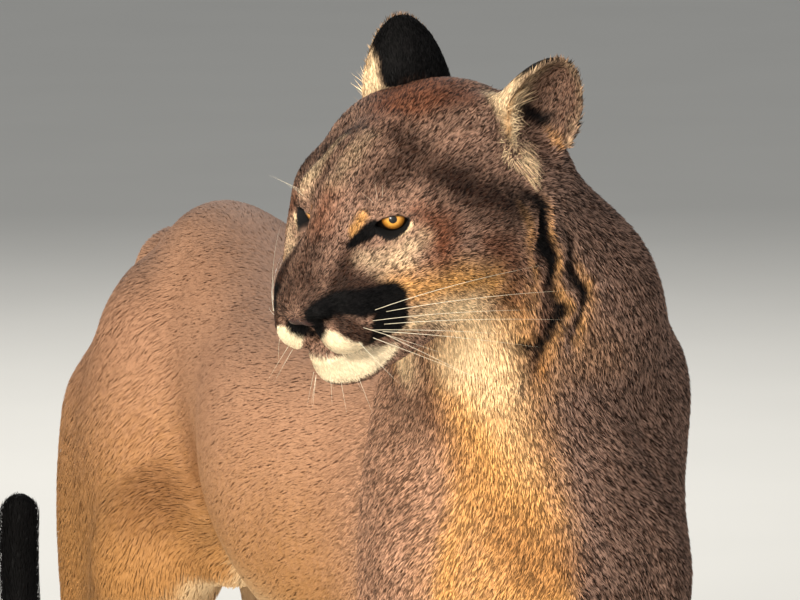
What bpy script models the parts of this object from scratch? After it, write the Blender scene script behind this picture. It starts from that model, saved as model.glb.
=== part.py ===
"""Life-size standing cougar with its head turned to its right.

The body is one smooth form, described as a distance field: muscles and bones are tapered limbs and
ellipsoids that blend into each other. The field is made into closed meshes, which thin cuts then part
into the head, ears, neck, torso, legs and tail. The eyes are separate balls in their sockets.
Metres, +Z up. The cougar faces -Y, so its right side is at -X.
"""

import math

import bmesh
import bpy
import numpy as np
import openvdb
from mathutils import Matrix, Vector

# Driving dimensions of the animal, in metres
CUT_GAP = 0.0003
EYE_RADIUS = 0.0135

# The head's own axes: L to its left, F forward along the palate, U up, from between the eyeballs
HEAD_AT = np.array([-0.162, -0.429, 0.780])
HEAD_TURN = math.radians(54.1)
HEAD_NOD = math.radians(25.2)
MM = 0.001


def unit(v):
    v = np.asarray(v, float)
    return v / np.linalg.norm(v)


def head_axes():
    """The head's left, forward and up directions in the world."""
    forward = np.array([
        -math.sin(HEAD_TURN) * math.cos(HEAD_NOD),
        -math.cos(HEAD_TURN) * math.cos(HEAD_NOD),
        -math.sin(HEAD_NOD),
    ])
    left = np.array([math.cos(HEAD_TURN), -math.sin(HEAD_TURN), 0.0])
    return np.stack([left, forward, np.cross(forward, left)])


AXES = head_axes()


def in_head(p):
    """Points of the world in the head's own axes, in millimetres."""
    return (p - HEAD_AT) @ AXES.T / MM


def from_head(lfu):
    """A point of the head's own axes, in millimetres, in the world."""
    return HEAD_AT + np.asarray(lfu, float) @ AXES * MM


def union(a, b, blend):
    h = np.maximum(blend - np.abs(a - b), 0.0) / blend
    return np.minimum(a, b) - h * h * blend / 4.0


def cut(a, b, blend):
    return -union(-a, b, blend)


def ball(p, centre, radii):
    """Distance to an ellipsoid."""
    q = p - np.asarray(centre, float)
    r = np.asarray(radii, float)
    k0 = np.linalg.norm(q / r, axis=1)
    k1 = np.linalg.norm(q / (r * r), axis=1)
    return k0 * (k0 - 1.0) / np.maximum(k1, 1e-9)


def limb(p, a, b, ra, rb, wide=1.0):
    """Distance to a tapered limb from a to b; wide stretches it along the first axis."""
    a, b = np.array(a, float), np.array(b, float)
    s = np.array([1.0 / wide, 1.0, 1.0])
    mid = np.array([(a[0] + b[0]) / 2, 0.0, 0.0])
    q, a, b = (p - mid) * s, (a - mid) * s, (b - mid) * s
    axis = b - a
    t = np.clip(((q - a) @ axis) / (axis @ axis), 0.0, 1.0)
    d = np.linalg.norm(q - a - t[:, None] * axis, axis=1) - (ra + (rb - ra) * t)
    return d * min(wide, 1.0)


def with_forms(p, d, forms):
    """Blends named forms into d: centre and radii, or two ends and their radii, then the blend."""
    for *shape, blend in forms.values():
        added = ball(p, *shape) if len(shape) == 2 else limb(p, shape[0], shape[1], *shape[2])
        d = union(d, added, blend)
    return d


# Torso stations: y, the spine's x, half width, top z, bottom z
TORSO = np.array([
    (-0.375, -0.022, 0.064, 0.615, 0.425),
    (-0.330, -0.013, 0.082, 0.650, 0.396),
    (-0.270, 0.000, 0.090, 0.670, 0.384),
    (-0.200, 0.010, 0.095, 0.668, 0.376),
    (-0.100, 0.015, 0.101, 0.653, 0.370),
    (0.000, 0.009, 0.108, 0.644, 0.374),
    (0.090, 0.002, 0.109, 0.645, 0.386),
    (0.180, 0.000, 0.098, 0.650, 0.402),
    (0.270, 0.000, 0.076, 0.665, 0.422),
    (0.360, -0.002, 0.064, 0.681, 0.442),
    (0.440, -0.004, 0.056, 0.681, 0.455),
    (0.510, -0.006, 0.044, 0.661, 0.472),
    (0.555, -0.008, 0.034, 0.634, 0.500),
    (0.590, -0.010, 0.025, 0.604, 0.535),
])


def through(y, ys, vs):
    """A smooth curve through stations."""
    slopes = np.gradient(vs, ys)
    i = np.clip(np.searchsorted(ys, y) - 1, 0, len(ys) - 2)
    h = ys[i + 1] - ys[i]
    t = np.clip((y - ys[i]) / h, 0.0, 1.0)
    t2, t3 = t * t, t * t * t
    return (
        (2 * t3 - 3 * t2 + 1) * vs[i]
        + (t3 - 2 * t2 + t) * h * slopes[i]
        + (-2 * t3 + 3 * t2) * vs[i + 1]
        + (t3 - t2) * h * slopes[i + 1]
    )


def torso(p):
    ys = TORSO[:, 0]
    y = np.clip(p[:, 1], ys[0], ys[-1])
    centre, half, top, low = (through(y, ys, TORSO[:, k]) for k in range(1, 5))
    mid = low + (top - low) * 0.50
    up = p[:, 2] - mid
    tall = np.where(up > 0, top - mid, mid - low)
    k = np.hypot((p[:, 0] - centre) / half, up / tall)
    d = (k - 1.0) * np.minimum(half, tall)
    over = p[:, 1] - y
    return np.where(np.abs(over) > 0, np.sqrt(np.maximum(d, 0) ** 2 + over**2) + np.minimum(d, 0), d)


def within(p, centre, reach, field):
    """The field near the centre, and the bare distance from that neighbourhood elsewhere."""
    far = np.linalg.norm(p - np.asarray(centre), axis=1) - reach
    d = far + 0.06
    inside = far < 0
    if inside.any():
        d[inside] = field(p[inside])
    return d


FRONT_TURN = math.radians(11)
FRONT_PIVOT = np.array([0.0, -0.27, 0.0])
FRONT_AXES = np.array([
    (math.cos(FRONT_TURN), math.sin(-FRONT_TURN), 0.0),
    (math.sin(FRONT_TURN), math.cos(FRONT_TURN), 0.0),
    (0.0, 0.0, 1.0),
])


def foreleg(p, side, step):
    """side is -1 on the right; step moves the paw forward."""
    q = ((p - FRONT_PIVOT) @ FRONT_AXES.T + FRONT_PIVOT) * np.array([side, 1.0, 1.0])
    point, elbow = (0.060, -0.342, 0.510), (0.072, -0.222, 0.405)
    wrist = (0.064, -0.252 - 0.5 * step, 0.140)
    knuckle = (0.064, -0.276 - step, 0.052)
    d = limb(q, (0.044, -0.235, 0.640), (0.064, -0.332, 0.520), 0.036, 0.044, 0.7)
    d = with_forms(q, d, {
        "shoulder blade": ((0.062, -0.270, 0.560), (0.033, 0.075, 0.095), 0.03),
        "triceps": ((0.070, -0.250, 0.465), (0.034, 0.075, 0.080), 0.03),
        "upper arm": (point, elbow, (0.043, 0.044, 0.8), 0.03),
        "forearm": (elbow, wrist, (0.047, 0.0305, 0.88), 0.03),
        "forearm muscle": ((0.072, -0.232, 0.345), (0.032, 0.044, 0.080), 0.03),
        "pastern": (wrist, knuckle, (0.0320, 0.0315, 1.12), 0.02),
    })
    return union(d, paw(q, knuckle, FOREPAW_SIZE), 0.015)


FOREPAW_SIZE, HINDPAW_SIZE = 1.12, 1.06
# Each toe: how far across, how far forward, how thick
TOES = ((-0.0265, 0.038, 0.0145), (-0.0095, 0.055, 0.0160), (0.0100, 0.055, 0.0160), (0.0270, 0.038, 0.0145))


def paw(q, knuckle, size):
    x, y, z = knuckle
    d = ball(q, (x, y - 0.010, 0.024), (0.037 * size, 0.044 * size, 0.030))
    for across, reach, wide in TOES:
        back = (x + across * size * 0.8, y - 0.008, 0.031)
        front = (x + across * size, y - reach * size, 0.0185)
        d = union(d, limb(q, back, front, wide * size, (wide + 0.001) * size), 0.005)
    return d


def hindleg(p, side, step):
    q = (p - np.array([-0.008, 0, 0])) * np.array([side, 1.0, 1.0])
    hip, knee = (0.046, 0.450, 0.555), (0.076, 0.340, 0.415)
    hock = (0.074, 0.545 + 0.7 * step, 0.205)
    knuckle = (0.072, 0.492 + step, 0.050)
    d = with_forms(q, ball(q, (0.045, 0.462, 0.520), (0.037, 0.088, 0.100)), {
        "rump": (hip, knee, (0.050, 0.044, 0.80), 0.04),
        "thigh": ((0.066, 0.450, 0.440), (0.044, 0.095, 0.105), 0.04),
        "hamstring": ((0.062, 0.52, 0.50), (0.078, 0.505 + 0.4 * step, 0.32), (0.043, 0.040, 0.8), 0.04),
        "flank fold": ((0.070, 0.330, 0.430), (0.050, 0.235, 0.430), (0.034, 0.018), 0.04),
        "shin": (knee, hock, (0.049, 0.0300, 0.84), 0.04),
        "foot": (hock, knuckle, (0.0290, 0.0295), 0.02),
    })
    return union(d, paw(q, knuckle, HINDPAW_SIZE), 0.015)


# The tail's course: it hangs from the rump, sweeps back and curls up at its tip
TAIL = np.array([
    (-0.010, 0.548, 0.606),
    (-0.010, 0.610, 0.578),
    (-0.013, 0.655, 0.508),
    (-0.016, 0.682, 0.405),
    (-0.020, 0.714, 0.300),
    (-0.025, 0.764, 0.212),
    (-0.028, 0.835, 0.167),
    (-0.030, 0.905, 0.172),
    (-0.032, 0.953, 0.222),
    (-0.032, 0.970, 0.289),
    (-0.032, 0.968, 0.345),
])
TAIL_RADIUS, ROOT_SWELL, ROOT_FADE = 0.0195, 0.013, 9.0
TAIL_PARTS = 30


def tail(p):
    at = np.linspace(0, len(TAIL) - 1, TAIL_PARTS + 1)
    ys = np.arange(len(TAIL), dtype=float)
    course = np.stack([through(at, ys, TAIL[:, k]) for k in range(3)], 1)
    along = at / at[-1]
    radius = TAIL_RADIUS + ROOT_SWELL * np.exp(-along * ROOT_FADE)
    d = np.full(len(p), 1.0)
    for i in range(TAIL_PARTS):
        d = np.minimum(d, limb(p, course[i], course[i + 1], radius[i], radius[i + 1]))
    return d


def neck(p):
    return with_forms(p, limb(p, (0.004, -0.262, 0.575), from_head((0, -112, -58)), 0.094, 0.058), {
        "crest": ((0.004, -0.215, 0.620), from_head((0, -124, -44)), (0.058, 0.042), 0.04),
        "left side": ((0.050, -0.262, 0.632), from_head((37, -112, -64)), (0.073, 0.062), 0.04),
        "throat": ((-0.012, -0.340, 0.540), from_head((0, -62, -70)), (0.066, 0.036), 0.05),
        "breast": ((-0.014, -0.325, 0.520), (0.074, 0.105, 0.115), 0.05),
    })


# Forms of the head in its own axes, in millimetres; those off the midline are on both sides
HEAD_FORMS = {
    "forehead": ((0, -26, 0), (43, 46, 37), 12),
    "ear root": ((38, -70, 2), (22, 46, 26), 14),
    "nose bridge": ((0, 4, 0), (0, 62, -29), (22, 17.5), 14),
    "top of the bridge": ((0, 12, 9), (0, 56, -17), (13, 12), 8),
    "brow": ((27.5, -1, 11.5), (13.5, 17, 10), 10),
    "temple": ((45, -24, -4), (16, 26, 22), 14),
    "upper jaw": ((15, 34, -36), (26, 42, 30), 12),
    "cheekbone": ((32, 12, -26), (56, -46, -30), (12, 18), 18),
    "cheek": ((42, -30, -40), (28, 56, 40), 18),
    "side of the mouth": ((32, 10, -50), (20, 40, 26), 16),
    "jowl": ((48, -80, -46), (28, 40, 38), 20),
    "whisker pad": ((17, 56, -49), (18, 26, 18.5), 9),
    "nose": ((0, 71, -27), (18.5, 16, 13.5), 6),
    "wing of the nose": ((7, 78, -30), (12, 77, -31), (8.5, 7.5), 4),
}
JAW_FORMS = {
    "lower lip": ((0, 64, -67), (14, 14, 10), 6),
    "jawbone": ((12, 48, -80), (42, -42, -68), (14, 24), 14),
    "throat": ((0, -20, -76), (34, 66, 20), 16),
}
JAW_BLEND = 3.5


def skull(m):
    """The head without its ears; m is in the head's own axes, in millimetres, and mirrored to one side."""
    braincase = ball(m, (0, -70, -6), (54, 70, 43))
    chin = ball(m, (0, 56, -77), (16.5, 19.5, 18))
    return union(with_forms(m, braincase, HEAD_FORMS), with_forms(m, chin, JAW_FORMS), JAW_BLEND)


EYE_AT = np.array([26.8, 0.8, -2.2])
EYE_OUT = math.radians(33)
EYE_AXES = np.array([
    (math.cos(EYE_OUT), -math.sin(EYE_OUT), 0.0),
    (math.sin(EYE_OUT), math.cos(EYE_OUT), 0.0),
    (0.0, 0.0, 1.0),
])
# The lids are a ball round the eye with a slit between two arcs, each with its own radius and middle
LID_RADIUS = 15.6
SLIT_TILT = math.radians(8)
UPPER_ARC, UPPER_DROP = 16.2, 12.6
LOWER_ARC, LOWER_RISE = 12.0, 6.2


def lids(m, d):
    d = union(d, ball(m, EYE_AT, (LID_RADIUS,) * 3), 6)
    e = (m - EYE_AT) @ EYE_AXES.T
    s = e[:, 0] * math.cos(SLIT_TILT) + e[:, 2] * math.sin(SLIT_TILT)
    h = e[:, 2] * math.cos(SLIT_TILT) - e[:, 0] * math.sin(SLIT_TILT)
    upper = np.hypot(s, h + UPPER_DROP) - UPPER_ARC
    lower = np.hypot(s, h - LOWER_RISE) - LOWER_ARC
    slit = np.maximum(np.maximum(upper, lower), 2.0 - e[:, 1])
    return cut(d, slit, 1.5)


# Points of the mouth line from the middle to the corner, with the groove's radius
LIPS = (
    (0, 82, -61, 1.6),
    (10, 82, -64.5, 1.6),
    (22, 73, -67.5, 1.6),
    (32, 53, -68.5, 1.5),
    (38, 36, -64, 0.9),
)


PHILTRUM = ((0, 90, -42), (0, 84, -60), 1.4, 1.6)
NOSTRIL = ((7, 93, -33), (15, 80, -36), 3.2, 2.6)


def mouth(m, d):
    for a, b in zip(LIPS, LIPS[1:]):
        d = cut(d, limb(m, a[:3], b[:3], a[3], b[3]), 2.0)
    for groove in (PHILTRUM, NOSTRIL):
        d = cut(d, limb(m, *groove), 2.0)
    return d


def face(p):
    m = in_head(p)
    m[:, 0] = np.abs(m[:, 0])
    d = mouth(m, lids(m, skull(m)))
    return d * MM


EAR_RIM, EAR_TAPER = 3.0, 0.22


def ear(p, base, rise, opening):
    """An ear's cup. All are in the head's own axes; rise leads from the base to the tip."""
    m = in_head(p)
    base, rise = np.array(base, float), np.array(rise, float)
    tall = np.linalg.norm(rise)
    up = rise / tall
    out = unit(np.array(opening) - np.dot(opening, up) * up)
    turn = np.stack([np.cross(up, out), out, up])
    q = (m - base) @ turn.T
    q[:, 0] *= 1.0 + EAR_TAPER * np.clip(q[:, 2] / tall, -0.5, 1.2)
    shell = ball(q, (0, -3, tall * 0.26), (32, 23, tall * 0.74))
    hollow = ball(q, (0, 9, tall * 0.31), (27.5, 25, tall * 0.70))
    return cut(shell, hollow, EAR_RIM) * MM


LEFT_EAR = {"base": (50.5, -108.5, -20.5), "rise": (28.5, -30, 50), "opening": (0.80, 0.50, 0.15)}
RIGHT_EAR = {"base": (-46, -121, -14), "rise": (-11.5, -33, 60), "opening": (-0.80, -0.50, -0.30)}


def body(p):
    d = torso(p)
    d = union(d, within(p, (-0.06, -0.32, 0.64), 0.36, neck), 0.045)
    for side, step in ((-1, 0.02), (1, -0.015)):
        d = union(d, within(p, (0.06 * side, -0.27, 0.34), 0.46, lambda q: foreleg(q, side, step)), 0.03)
    for side, step in ((-1, -0.01), (1, 0.045)):
        d = union(d, within(p, (0.06 * side, 0.43, 0.32), 0.48, lambda q: hindleg(q, side, step)), 0.035)
    return union(d, within(p, (-0.03, 0.75, 0.39), 0.42, tail), 0.02)


def whole(p):
    d = union(body(p), within(p, from_head((0, -30, -20)), 0.26, face), 0.018)
    for e in (LEFT_EAR, RIGHT_EAR):
        d = union(d, within(p, from_head(e["base"]), 0.16, lambda q: ear(q, **e)), 0.008)
    return d


def signed_grid(field, low, high, step):
    """Values of the field on a grid, worked out only near the surface and clipped further off."""
    coarse, band = 4, 3 * step
    low, high = np.array(low, float), np.array(high, float)
    n = np.ceil((high - low) / (step * coarse)).astype(int) + 1
    axes = [low[k] + np.arange(n[k]) * step * coarse for k in range(3)]
    rough = sampled(field, np.stack(np.meshgrid(*axes, indexing="ij"), -1).reshape(-1, 3)).reshape(n)
    nearest = [np.minimum((np.arange(n[k] * coarse) + coarse // 2) // coarse, n[k] - 1) for k in range(3)]
    grid = (np.sign(rough) * band)[np.ix_(*nearest)].astype(np.float32)
    cells = np.argwhere(np.abs(rough) < step * coarse * 1.9)
    offsets = np.stack(np.meshgrid(*[np.arange(coarse)] * 3, indexing="ij"), -1).reshape(-1, 3) - coarse // 2
    index = (cells[:, None, :] * coarse + offsets[None]).reshape(-1, 3)
    index = index[(index >= 0).all(1) & (index < n * coarse).all(1)]
    grid[tuple(index.T)] = np.clip(sampled(field, low + index * step), -band, band)
    return grid


def sampled(field, points):
    return np.concatenate([field(part) for part in np.array_split(points, max(1, len(points) // 200000))])


def surface(field, low, high, step):
    """Points and outward quads of the surface where the field is zero, inside a box."""
    grid = openvdb.FloatGrid(3 * step)
    grid.copyFromArray(signed_grid(field, low, high, step))
    points, quads = grid.convertToQuads(0.0)
    return np.array(low) + np.asarray(points) * step, np.asarray(quads)


def mesh_object(name, points, quads):
    mesh = bpy.data.meshes.new(name)
    mesh.from_pydata(points.tolist(), [], quads.tolist())
    mesh.update()
    obj = bpy.data.objects.new(name, mesh)
    bpy.context.scene.collection.objects.link(obj)
    return obj


def edited(obj, change):
    """Runs a change on the object's mesh through bmesh."""
    bm = bmesh.new()
    bm.from_mesh(obj.data)
    change(bm)
    bm.to_mesh(obj.data)
    bm.free()
    obj.data.update()


def evaluated(obj):
    """Replaces the object's mesh by the result of its modifiers."""
    graph = bpy.context.evaluated_depsgraph_get()
    mesh = bpy.data.meshes.new_from_object(obj.evaluated_get(graph))
    obj.modifiers.clear()
    obj.data = mesh


def decimated(obj, triangles):
    edited(obj, lambda bm: bmesh.ops.triangulate(bm, faces=bm.faces))
    modifier = obj.modifiers.new("Decimate", "DECIMATE")
    modifier.ratio = min(1.0, triangles / len(obj.data.polygons))
    evaluated(obj)


def sliced(obj, at, normal, keep):
    """Cuts the object by a plane, keeps the side the normal points to (or the other), and caps the cut."""
    normal = Vector(unit(normal))

    plane = Vector(at) + normal * (keep * CUT_GAP / 2)

    def on_plane(edge):
        return edge.is_boundary and all(abs((v.co - plane).dot(normal)) < 1e-6 for v in edge.verts)

    def change(bm):
        bmesh.ops.bisect_plane(
            bm,
            geom=bm.verts[:] + bm.edges[:] + bm.faces[:],
            dist=1e-7,
            plane_co=plane,
            plane_no=normal,
            clear_inner=keep > 0,
            clear_outer=keep < 0,
        )
        caps = bmesh.ops.holes_fill(bm, edges=[e for e in bm.edges if on_plane(e)])["faces"]
        bmesh.ops.triangulate(bm, faces=caps)

    edited(obj, change)


def duplicate(obj, name):
    copy = bpy.data.objects.new(name, obj.data.copy())
    bpy.context.scene.collection.objects.link(copy)
    return copy


def large_pieces(obj):
    return [group for group in pieces(obj) if len(group) > SMALLEST_PIECE]


def pieces(obj):
    """The object's separate closed surfaces, largest first, as lists of vertex indices."""
    parents = list(range(len(obj.data.vertices)))

    def root(i):
        while parents[i] != i:
            parents[i] = parents[parents[i]]
            i = parents[i]
        return i

    for edge in obj.data.edges:
        a, b = (root(i) for i in edge.vertices)
        parents[a] = b
    groups = {}
    for i in range(len(parents)):
        groups.setdefault(root(i), []).append(i)
    return sorted(groups.values(), key=len, reverse=True)


def keep_piece(obj, vertices):
    kept = set(vertices)

    def change(bm):
        gone = [v for v in bm.verts if v.index not in kept]
        bmesh.ops.delete(bm, geom=gone, context="VERTS")

    edited(obj, change)


def nearest_piece(obj, point):
    """The separate surface whose middle is nearest the point."""
    co = np.array([v.co for v in obj.data.vertices])
    return min(large_pieces(obj), key=lambda g: np.linalg.norm(co[g].mean(0) - np.asarray(point)))


def boolean(obj, cutter, operation="DIFFERENCE"):
    modifier = obj.modifiers.new("Cut", "BOOLEAN")
    modifier.operation = operation
    modifier.object = cutter
    modifier.solver = "EXACT"
    evaluated(obj)


def cutter(name, bm, matrix):
    mesh = bpy.data.meshes.new(name)
    bm.to_mesh(mesh)
    bm.free()
    obj = bpy.data.objects.new(name, mesh)
    obj.matrix_world = matrix
    obj.hide_render = True
    obj.display_type = "WIRE"
    bpy.data.collections["Cutters"].objects.link(obj)
    bpy.context.view_layer.update()
    return obj


def slab(name, at, normal, wide, deep):
    """A box as thin as the gap, square to the normal."""
    z = Vector(unit(normal))
    y = Vector((0, 1, 0))
    x = y.cross(z).normalized()
    y = z.cross(x)
    bm = bmesh.new()
    bmesh.ops.create_cube(bm, size=1.0)
    bm.transform(Matrix.Diagonal((wide, deep, CUT_GAP, 1.0)))
    return cutter(name, bm, Matrix((
        (x.x, y.x, z.x, at[0]), (x.y, y.y, z.y, at[1]), (x.z, y.z, z.z, at[2]), (0, 0, 0, 1),
    )))


def sphere(name, at, radius, segments, rings):
    bm = bmesh.new()
    bmesh.ops.create_uvsphere(bm, u_segments=segments, v_segments=rings, radius=radius)
    return cutter(name, bm, Matrix.Translation(at))


HEAD_STEP, BODY_STEP = 0.0022, 0.0055
HEAD_TRIANGLES, BODY_TRIANGLES = 5700, 6300
SOCKET_GAP = 0.0003
SMALLEST_PIECE = 40
# Where the thin cuts go: a point and the direction square to the cut, with the slab's size for a local one
HEAD_CUT = (from_head((0, -104, -46)), unit(0.72 * AXES[1] + 0.70 * AXES[2]))
NECK_CUT = ((0.0, -0.320, 0.608), (-0.12, -0.60, 0.79))
LIMB_CUTS = {
    "foreleg_right": ((-0.076, -0.215, 0.382), (-0.45, -0.10, -1.0), 0.15, 0.18),
    "foreleg_left": ((0.074, -0.245, 0.382), (0.45, -0.10, -1.0), 0.15, 0.18),
    "hindleg_right": ((-0.078, 0.430, 0.427), (-0.45, 0.35, -1.0), 0.15, 0.34),
    "hindleg_left": ((0.064, 0.430, 0.427), (0.45, 0.35, -1.0), 0.15, 0.34),
    "tail": ((-0.011, 0.640, 0.545), (0.0, 0.42, -0.90), 0.11, 0.11),
}
MIDDLES = {
    "foreleg_right": (-0.07, -0.26, 0.20),
    "foreleg_left": (0.07, -0.25, 0.20),
    "hindleg_right": (-0.08, 0.48, 0.28),
    "hindleg_left": (0.06, 0.50, 0.28),
    "tail": (-0.02, 0.75, 0.30),
    "torso": (0.0, 0.05, 0.53),
}
EAR_CUT = 0.42
COAT, EAR_COAT, IRIS = (0.42, 0.24, 0.12, 1.0), (0.20, 0.13, 0.08, 1.0), (0.55, 0.30, 0.05, 1.0)


def material(name, colour, roughness):
    made = bpy.data.materials.new(name)
    made.use_nodes = True
    shader = made.node_tree.nodes["Principled BSDF"]
    shader.inputs["Base Color"].default_value = colour
    shader.inputs["Roughness"].default_value = roughness
    shader.inputs["Metallic"].default_value = 0.0
    return made


def named(obj, name, colour, roughness):
    """Makes the object a node of the part, with a material of its own."""
    made = bpy.data.objects.new(name, obj.data)
    made.data.name = name
    made.data.materials.clear()
    made.data.materials.append(material(name, colour, roughness))
    bpy.data.collections["Cougar"].objects.link(made)
    return made


def eye_places():
    return {"eye_left": from_head(EYE_AT), "eye_right": from_head(EYE_AT * np.array([-1, 1, 1]))}


def make_head():
    """The head with its sockets, and the two ears cut from it."""
    centre = from_head((0, -42, -16))
    head = mesh_object("head mesh", *surface(whole, centre - 0.195, centre + 0.195, HEAD_STEP))
    decimated(head, HEAD_TRIANGLES * 1.25)
    sliced(head, HEAD_CUT[0], HEAD_CUT[1], 1)
    keep_piece(head, nearest_piece(head, centre))
    for name, at in eye_places().items():
        boolean(head, sphere("socket of " + name, at, EYE_RADIUS + SOCKET_GAP, 40, 24))
    tips = {}
    for name, spec in (("ear_left", LEFT_EAR), ("ear_right", RIGHT_EAR)):
        rise = np.array(spec["rise"], float)
        at = from_head(np.array(spec["base"]) + rise * EAR_CUT)
        boolean(head, slab("cut of " + name, at, rise @ AXES, 0.10, 0.10))
        tips[name] = from_head(np.array(spec["base"]) + rise * 0.75)
    found = {"head": (pieces(head)[0], COAT)}
    for name, at in tips.items():
        found[name] = (nearest_piece(head, at), EAR_COAT)
    for name, (vertices, colour) in found.items():
        piece = duplicate(head, name + " piece")
        keep_piece(piece, vertices)
        named(piece, name, colour, 0.85)


def make_body():
    """The neck, torso, legs and tail from one mesh."""
    trunk = mesh_object("body mesh", *surface(whole, (-0.26, -0.56, -0.022), (0.20, 1.03, 0.97), BODY_STEP))
    keep_piece(trunk, pieces(trunk)[0])
    decimated(trunk, BODY_TRIANGLES * 1.12)
    sliced(trunk, (0, 0, 0), (0, 0, 1), 1)
    sliced(trunk, HEAD_CUT[0], HEAD_CUT[1], -1)
    keep_piece(trunk, sum(large_pieces(trunk), []))
    neck_piece = duplicate(trunk, "neck piece")
    sliced(neck_piece, NECK_CUT[0], NECK_CUT[1], 1)
    keep_piece(neck_piece, nearest_piece(neck_piece, (-0.04, -0.33, 0.70)))
    named(neck_piece, "neck", COAT, 0.85)
    sliced(trunk, NECK_CUT[0], NECK_CUT[1], -1)
    for name, (at, normal, wide, deep) in LIMB_CUTS.items():
        boolean(trunk, slab("cut of " + name, at, normal, wide, deep))
    for name, middle in MIDDLES.items():
        piece = duplicate(trunk, name + " piece")
        keep_piece(piece, nearest_piece(piece, middle))
        named(piece, name, COAT, 0.85)


def tidied(bm):
    bmesh.ops.triangulate(bm, faces=bm.faces)
    bmesh.ops.recalc_face_normals(bm, faces=bm.faces)


def make_eyes():
    for name, at in eye_places().items():
        eye = duplicate(sphere("ball of " + name, at, EYE_RADIUS, 20, 12), name + " piece")
        eye.data.transform(Matrix.Translation(at))
        named(eye, name, IRIS, 0.1)


def stand_on_origin():
    """Moves the whole animal so that its soles are at z = 0 and its box is centred on the z axis."""
    nodes = bpy.data.collections["Cougar"].objects
    points = np.array([tuple(v.co) for obj in nodes for v in obj.data.vertices])
    low, high = points.min(0), points.max(0)
    shift = Vector((-(low[0] + high[0]) / 2, -(low[1] + high[1]) / 2, -low[2]))
    for obj in nodes:
        obj.data.transform(Matrix.Translation(shift))


def main():
    for obj in list(bpy.data.objects):
        bpy.data.objects.remove(obj)
    for name in ("Cougar", "Cutters"):
        bpy.context.scene.collection.children.link(bpy.data.collections.new(name))
    bpy.data.collections["Cutters"].hide_render = True
    make_head()
    make_body()
    make_eyes()
    for obj in list(bpy.context.scene.collection.objects):
        bpy.data.objects.remove(obj)
    for obj in bpy.data.collections["Cougar"].objects:
        edited(obj, tidied)
        obj.data.polygons.foreach_set("use_smooth", [True] * len(obj.data.polygons))
    stand_on_origin()


if __name__ == "__main__":
    main()
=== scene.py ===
"""Dresses the standing cougar: one skin in place of the solids of flesh, a coat of blades that follow the lie
of the hair, ear hair, whiskers, wet eyes, and a plain studio.

Metres, +Z up. The cougar faces -Y, so its right side is at -X. Points of the face are in the head's own
axes, in millimetres: left, forward along the palate, and up from the point between the eyeballs.
"""

import copy
import math

import bmesh
import bpy
import numpy as np
import openvdb
from mathutils import Matrix, Vector, noise


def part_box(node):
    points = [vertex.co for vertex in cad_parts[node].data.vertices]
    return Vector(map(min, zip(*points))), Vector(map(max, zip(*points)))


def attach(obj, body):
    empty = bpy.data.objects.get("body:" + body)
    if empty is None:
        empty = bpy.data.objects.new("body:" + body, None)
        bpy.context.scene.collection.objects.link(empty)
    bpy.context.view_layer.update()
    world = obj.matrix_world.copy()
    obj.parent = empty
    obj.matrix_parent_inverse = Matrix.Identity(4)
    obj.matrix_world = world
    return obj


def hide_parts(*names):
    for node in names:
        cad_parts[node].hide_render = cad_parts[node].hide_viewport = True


bl_info = {
    "name": "Standing cougar",
    "version": (1, 0, 0),
    "blender": (4, 5, 0),
    "location": "3D View > Sidebar > Cougar",
    "description": "Skin, coat, eyes and whiskers of a life-size standing cougar",
    "category": "Add Mesh",
}

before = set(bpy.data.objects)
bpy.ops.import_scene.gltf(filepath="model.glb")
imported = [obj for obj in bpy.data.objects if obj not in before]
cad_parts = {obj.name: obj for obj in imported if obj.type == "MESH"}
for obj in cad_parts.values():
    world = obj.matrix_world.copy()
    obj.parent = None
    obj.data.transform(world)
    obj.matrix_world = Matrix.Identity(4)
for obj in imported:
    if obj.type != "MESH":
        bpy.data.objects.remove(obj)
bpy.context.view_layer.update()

FLESH = ("head", "ear_left", "ear_right", "neck", "torso", "foreleg_left", "foreleg_right",
         "hindleg_left", "hindleg_right", "tail")

# The head's own axes: L to its left, F forward along the palate, U up, from between the eyeballs
HEAD_AT = np.array([-0.162, -0.429, 0.780])
HEAD_TURN = math.radians(54.1)
HEAD_NOD = math.radians(25.2)
MM = 0.001


def unit(v):
    v = np.asarray(v, float)
    return v / np.linalg.norm(v)


def units(rows, least=1e-6):
    """Each row as a unit vector."""
    return rows / np.maximum(np.linalg.norm(rows, axis=1), least)[:, None]


def head_axes():
    """The head's left, forward and up directions in the world."""
    forward = np.array([
        -math.sin(HEAD_TURN) * math.cos(HEAD_NOD),
        -math.cos(HEAD_TURN) * math.cos(HEAD_NOD),
        -math.sin(HEAD_NOD),
    ])
    left = np.array([math.cos(HEAD_TURN), -math.sin(HEAD_TURN), 0.0])
    return np.stack([left, forward, np.cross(forward, left)])


AXES = head_axes()


def in_head(p):
    """Points of the world in the head's own axes, in millimetres."""
    return (p - HEAD_AT) @ AXES.T / MM


def from_head(lfu):
    """A point of the head's own axes, in millimetres, in the world."""
    return HEAD_AT + np.asarray(lfu, float) @ AXES * MM


def union(a, b, blend):
    h = np.maximum(blend - np.abs(a - b), 0.0) / blend
    return np.minimum(a, b) - h * h * blend / 4.0


def cut(a, b, blend):
    return -union(-a, b, blend)


def ball(p, centre, radii):
    """Distance to an ellipsoid."""
    q = p - np.asarray(centre, float)
    r = np.asarray(radii, float)
    k0 = np.linalg.norm(q / r, axis=1)
    k1 = np.linalg.norm(q / (r * r), axis=1)
    return k0 * (k0 - 1.0) / np.maximum(k1, 1e-9)


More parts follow.
